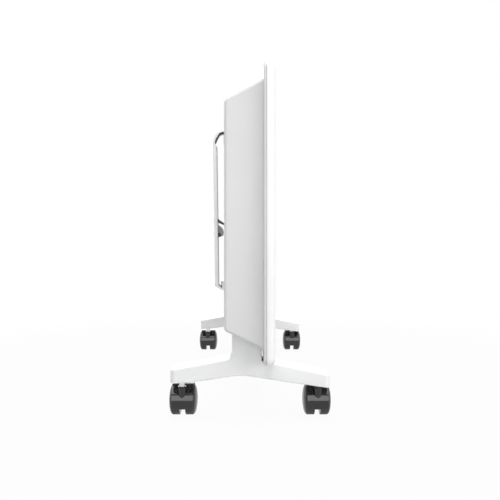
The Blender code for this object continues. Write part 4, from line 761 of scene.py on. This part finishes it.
def wheelProfile():
    gap, radius, ease = wheelLook["gap"], wheelLook["radius"], wheelLook["edge"]
    rim = gap + wheelLook["tread"]
    nip = ease * wheelLook["edgeShare"]
    profile = [(wheelLook["bore"], gap), (radius - ease, gap), (radius - nip, gap + nip),
               (radius, gap + ease)]
    half = wheelLook["grooveWidth"] / 2
    floorHalf, floorRadius = half * wheelLook["grooveFloor"], radius - wheelLook["grooveDepth"]
    for index in range(wheelLook["grooves"]):
        at = gap + wheelLook["tread"] * (index + 1) / (wheelLook["grooves"] + 1)
        profile += [(radius, at - half), (floorRadius, at - floorHalf), (floorRadius, at + floorHalf),
                    (radius, at + half)]
    profile += [(radius, rim - ease), (radius - nip, rim - nip)]
    dome = []
    for index in range(wheelLook["domeSteps"] + 1):
        angle = math.radians(90.0 * index / wheelLook["domeSteps"])
        dome.append(((radius - ease) * math.cos(angle), rim + wheelLook["dome"] * math.sin(angle)))
    for (r, y), (nextR, nextY) in zip(dome, dome[1:] + dome[-1:]):
        profile.append((max(r, 0.0), y))
        for name in ("ring", "cap"):
            middle = wheelLook[name]
            if r > middle > nextR:
                at = y + (nextY - y) * ((r - middle) / (r - nextR))
                profile += [(middle + across, at + along) for across, along in wheelLook[name + "Groove"]]
    profile += [(0.0, wheelLook["axleEnd"]), (wheelLook["bore"], wheelLook["axleEnd"])]
    return profile


casterEnds = (("rear", legLook["stemPlace"]), ("front", -legLook["stemPlace"]))
casterPlaces = [(f"{side}_{end}", x, y) for side, x in legPlaces for end, y in casterEnds]
for tag, x, y in casterPlaces:
    hub = Vector((x + casterLook["trail"], y, casterLook["hub"]))
    bm = bmesh.new()
    rod(bm, casterLook["outer"], -casterLook["half"], casterLook["half"], hub, "Y", casterLook["steps"])
    cutAway(bm, (0, 0, casterLook["sill"]), (0, 0, -1))
    rounding(bm, sharpEdges(bm, 30), casterLook["edge"], casterLook["edgeSteps"])
    hoodPiece = draft(f"hood_{tag}", bm)
    bm = bmesh.new()
    radius, top, ease = housingLook["radius"], housingLook["top"], housingLook["ease"]
    turned(bm, [(0.0, housingLook["point"]), (radius, housingLook["foot"]), (radius, top - ease),
                (radius - ease, top), (0.0, top)], (x, y, 0), "Z", housingLook["steps"])
    carve(hoodPiece, bm, "UNION")
    for side in (-1, 1):
        bm = bmesh.new()
        ends = sorted((side * casterLook["web"], side * (casterLook["half"] + cutPast)))
        rod(bm, casterLook["inner"], *ends, hub, "Y", casterLook["steps"])
        carve(hoodPiece, bm)
        bm = bmesh.new()
        rod(bm, casterLook["outer"] + cutPast, *ends, hub, "Y", casterLook["coarse"])
        for angle, sign in ((casterLook["openFrom"], -1), (casterLook["openTo"], 1)):
            turn = math.radians(angle)
            cutAway(bm, hub, Vector((-math.sin(turn), 0, math.cos(turn))) * sign)
        carve(hoodPiece, bm)
    bm = bmesh.new()
    rod(bm, housingLook["bore"], housingLook["boreFoot"], top + cutPast, (x, y, 0), "Z",
        casterLook["holeSteps"])
    rod(bm, casterLook["axleHole"], -casterLook["half"], casterLook["half"], hub, "Y",
        casterLook["holeSteps"])
    carve(hoodPiece, bm)
    finish(hoodPiece, hoodBlack, f"caster_{tag}", "caster_plastic", f"caster_hood_{tag}", angle=28)

    # stem from its foot up: pin, collar, a necked ring and the tip
    seat = top + touchGap
    ease, tipEase = stemLook["collarEase"], stemLook["topEase"]
    collar, collarTop = stemLook["collar"], stemLook["collarTop"]
    stem, neck = stemLook["stem"], stemLook["stem"] - stemLook["neckDepth"]
    neckZ = collarTop + stemLook["neckFrom"]
    neckLow, neckHigh, neckEnd = (neckZ + rise for rise in stemLook["neckRises"])
    bm = bmesh.new()
    turned(bm, [(0.0, stemLook["pinFoot"]), (stemLook["pin"], stemLook["pinFoot"]), (stemLook["pin"], seat),
                (collar - ease, seat), (collar, seat + ease), (collar, collarTop - ease),
                (collar - ease, collarTop), (stem, collarTop), (stem, neckZ), (neck, neckLow),
                (neck, neckHigh), (stem, neckEnd), (stem, stemLook["top"] - tipEase),
                (stem - tipEase, stemLook["top"]), (0.0, stemLook["top"])], (x, y, 0), "Z", stemLook["steps"])
    stemPiece = draft(f"stem_{tag}", bm)
    finish(stemPiece, stemChrome, "heater", "stem_chrome", f"caster_stem_{tag}")
    # the collar gets a dark metal, a painted reflection: its dark colour stands in for the chrome collar
    # mirroring the black hood below
    stemPiece.data.materials.append(collarPaintedReflection)
    for face in stemPiece.data.polygons:
        if seat - stemLook["paintedReflectionPast"] < face.center.z < collarTop + stemLook["paintedReflectionPast"]:
            face.material_index = 1

    for label, side in (("rear", 1), ("front", -1)):
        bm = bmesh.new()
        turned(bm, [(radius, side * along) for radius, along in wheelProfile()], hub, "Y", wheelLook["steps"],
               closed=True)
        wheelPiece = draft(f"wheel_{tag}_{label}", bm)
        finish(wheelPiece, wheelBlack, f"wheel_{tag}_{label}", "wheel_plastic", f"caster_wheel_{tag}_{label}",
               angle=28)
        wheelPiece.data.materials.append(treadRubber)
        for face in wheelPiece.data.polygons:
            reach = (Vector((face.center.x, 0, face.center.z)) - Vector((hub.x, 0, hub.z))).length
            if reach > wheelLook["radius"] - wheelLook["treadDepth"]:
                face.material_index = 1
print("casters made")


# pan-head screws with a cross recess

screwLook = {"shank": 0.0018, "length": 0.010, "tipShare": 0.5, "tip": 0.0010, "threadFrom": 0.0014,
             "pitch": 0.0009, "turns": 8, "rootShare": 0.78, "plain": 0.0004, "head": 0.0038,
             "height": 0.0018, "headFlat": 0.55, "headRound": 0.45, "headSide": 0.25, "headSteps": 6,
             "steps": 32, "crossLong": 0.0021, "crossWide": 0.0005, "crossDepth": 0.0011, "crossPast": 0.001,
             "crossTaper": (0.55, 0.8)}
seats = []
for index, (side, step) in enumerate(((-1, -1), (-1, 1), (1, -1), (1, 1)), 1):
    place = (side * legLook["spread"] + step * legLook["screwSpread"] / 2, *screwPoint)
    seats.append((f"leg_screw_{index}", place, -screwUp))
for index, (side, z) in enumerate(((side, z) for side in (-1, 1) for z in screwRows), 1):
    seats.append((f"panel_screw_{index}", (side * panelLook["screwSpread"], mouthY, z), Vector((0, 1, 0))))
for name, place, facing in seats:
    bm = bmesh.new()
    foot, shank, head = -screwLook["length"], screwLook["shank"], screwLook["head"]
    profile = [(0.0, foot), (shank * screwLook["tipShare"], foot), (shank, foot + screwLook["tip"])]
    for index in range(screwLook["turns"]):
        at = foot + screwLook["threadFrom"] + index * screwLook["pitch"]
        profile += [(shank, at), (shank * screwLook["rootShare"], at + screwLook["pitch"] / 2)]
    profile += [(shank, -screwLook["plain"]), (shank, 0.0), (head, 0.0)]
    for index in range(screwLook["headSteps"] + 1):
        angle = math.radians(90.0 * index / screwLook["headSteps"])
        rise = screwLook["headSide"] + (1 - screwLook["headSide"]) * math.sin(angle)
        profile.append((head * screwLook["headFlat"] + head * screwLook["headRound"] * math.cos(angle),
                        screwLook["height"] * rise))
    profile.append((0.0, screwLook["height"]))
    turned(bm, profile, (0, 0, touchGap), "Z", screwLook["steps"])
    screwPiece = draft("dressed_" + name, bm)
    top = touchGap + screwLook["height"]
    # the cross is cut one arm at a time, narrower towards its floor
    arms = ((screwLook["crossLong"], screwLook["crossWide"]), screwLook["crossTaper"])
    for (halfX, halfY), (taperX, taperY) in (arms, [pair[::-1] for pair in arms]):
        bm = bmesh.new()
        arm = block(bm, (-halfX, -halfY, top - screwLook["crossDepth"]),
                    (halfX, halfY, top + screwLook["crossPast"]))
        armFloor = [vert for vert in arm if vert.co.z < top]
        bmesh.ops.scale(bm, verts=armFloor, vec=(taperX, taperY, 1.0))
        carve(screwPiece, bm)
    bm = bmesh.new()
    bm.from_mesh(screwPiece.data)
    aim(bm, bm.verts, (0, 0, 1), facing)
    bmesh.ops.translate(bm, verts=bm.verts, vec=place)
    bm.to_mesh(screwPiece.data)
    bm.free()
    finish(screwPiece, zincPlate, "heater", "bright_steel", name)
print("screws made")


# the CAD solids that stay get their own finishes

kept = {"heating_rod": innerSteel, "element_bracket_left": innerSteel, "element_bracket_right": innerSteel,
        "element_body": finAluminium, "insulator_left": insulatorCeramic, "insulator_right": insulatorCeramic,
        "thermostat": innerGrey, "tip_over_switch": innerGrey, "terminal_block": terminalNylon,
        "gland_nut": blackMoulded, "thermostat_shaft": zincPlate, "thermal_cutout": zincPlate}
kept.update({f"caster_axle_{place[0]}": zincPlate for place in casterPlaces})
for name, material in kept.items():
    node = nodes[name]
    for place in node.material_slots:
        place.material = material
print("kept solids finished:", len(kept))


# floor, world and lamps

stageLook = {"floor": 8.0, "floorPaint": 0.55, "ambient": 0.12, "shadowShare": 0.05,
             "shadowReach": (0.45, 1.10), "hazeHeight": (0.46, 0.80), "overhead": 0.30}


def seenRays(tree):
    # 1 for rays from the camera, reflections and glass
    sight = tree.nodes.new("ShaderNodeLightPath")
    total = sight.outputs["Is Camera Ray"]
    for kind in ("Is Glossy Ray", "Is Transmission Ray"):
        larger = tree.nodes.new("ShaderNodeMath")
        larger.operation = "MAXIMUM"
        tree.links.new(total, larger.inputs[0])
        tree.links.new(sight.outputs[kind], larger.inputs[1])
        total = larger.outputs[0]
    return total


def spreadValue(tree, source, ends, results):
    node = tree.nodes.new("ShaderNodeMapRange")
    node.interpolation_type = "SMOOTHSTEP"
    for key, value in zip(("From Min", "From Max", "To Min", "To Max"), (*ends, *results)):
        node.inputs[key].default_value = value
    tree.links.new(source, node.inputs["Value"])
    return node.outputs["Result"]


def floorFinish():
    # white where it is seen, with a soft shadow near the heater, and a plain pale floor to the light
    made = bpy.data.materials.new("paleFloor")
    made.use_nodes = True
    tree = made.node_tree
    tree.nodes.clear()
    matt = tree.nodes.new("ShaderNodeBsdfDiffuse")
    matt.inputs["Color"].default_value = (*[stageLook["floorPaint"]] * 3, 1.0)
    white = tree.nodes.new("ShaderNodeEmission")
    place = tree.nodes.new("ShaderNodeTexCoord")
    reach = tree.nodes.new("ShaderNodeVectorMath")
    reach.operation = "LENGTH"
    tree.links.new(place.outputs["Object"], reach.inputs[0])
    share = tree.nodes.new("ShaderNodeMath")
    share.operation = "MULTIPLY"
    tree.links.new(seenRays(tree), share.inputs[0])
    tree.links.new(spreadValue(tree, reach.outputs["Value"], stageLook["shadowReach"],
                               (1 - stageLook["shadowShare"], 1.0)), share.inputs[1])
    mix = tree.nodes.new("ShaderNodeMixShader")
    tree.links.new(share.outputs[0], mix.inputs[0])
    tree.links.new(matt.outputs[0], mix.inputs[1])
    tree.links.new(white.outputs[0], mix.inputs[2])
    out = tree.nodes.new("ShaderNodeOutputMaterial")
    tree.links.new(mix.outputs[0], out.inputs["Surface"])
    return made


bm = bmesh.new()
bmesh.ops.create_grid(bm, x_segments=1, y_segments=1, size=stageLook["floor"] / 2)
floor = draft("floor", bm)
floor.data.materials.append(floorFinish())

world = bpy.data.worlds.new("studio")
world.use_nodes = True
bpy.context.scene.world = world
tree = world.node_tree
place = tree.nodes.new("ShaderNodeTexCoord")
parts = tree.nodes.new("ShaderNodeSeparateXYZ")
tree.links.new(place.outputs["Generated"], parts.inputs[0])
shown = spreadValue(tree, parts.outputs["Z"], stageLook["hazeHeight"], (1.0, stageLook["overhead"]))
choice = tree.nodes.new("ShaderNodeMix")
choice.inputs[2].default_value = stageLook["ambient"]
tree.links.new(seenRays(tree), choice.inputs[0])
tree.links.new(shown, choice.inputs[3])
background = tree.nodes["Background"]
background.inputs["Color"].default_value = (1.0, 1.0, 1.0, 1.0)
tree.links.new(choice.outputs[0], background.inputs["Strength"])

# each lamp: place, what it faces, width, height, watts
lamps = {"keyCard": ((-3.2, 0.0, 1.10), (0.0, 0.0, 0.60), 1.3, 2.0, 20.5),
         "frontLeft": ((-2.2, -2.2, 1.20), (0.0, 0.0, 0.25), 2.0, 2.0, 28.0),
         "front": ((-0.3, -3.0, 1.20), (0.0, 0.0, 0.25), 2.0, 2.0, 6.0),
         "overhead": ((0.0, 0.0, 3.00), (0.0, 0.0, 0.0), 2.0, 2.0, 46.0),
         "leftHigh": ((-1.8, 0.0, 2.80), (0.0, 0.0, 0.25), 1.6, 1.6, 29.0),
         "frontLow": ((-1.2, -2.6, 0.55), (0.0, 0.0, 0.25), 1.6, 1.0, 9.0),
         "rearHigh": ((0.0, 1.2, 2.80), (0.0, 0.0, 0.0), 1.6, 1.6, 10.0),
         "rearFill": ((0.3, 3.0, 1.20), (0.0, 0.0, 0.25), 2.0, 2.0, 16.0),
         "rightFill": ((2.9, 0.3, 1.20), (0.0, 0.0, 0.25), 2.0, 2.0, 26.0)}
for name, (place, target, width, height, watts) in lamps.items():
    lamp = bpy.data.lights.new(name, "AREA")
    lamp.shape = "RECTANGLE"
    lamp.size = width
    lamp.size_y = height
    lamp.energy = watts
    stand = bpy.data.objects.new(name, lamp)
    stand.location = place
    stand.rotation_euler = (Vector(target) - Vector(place)).to_track_quat("-Z", "Y").to_euler()
    stand.visible_camera = False
    bpy.context.scene.collection.objects.link(stand)
bpy.context.scene.view_settings.view_transform = "Standard"
print("studio made")
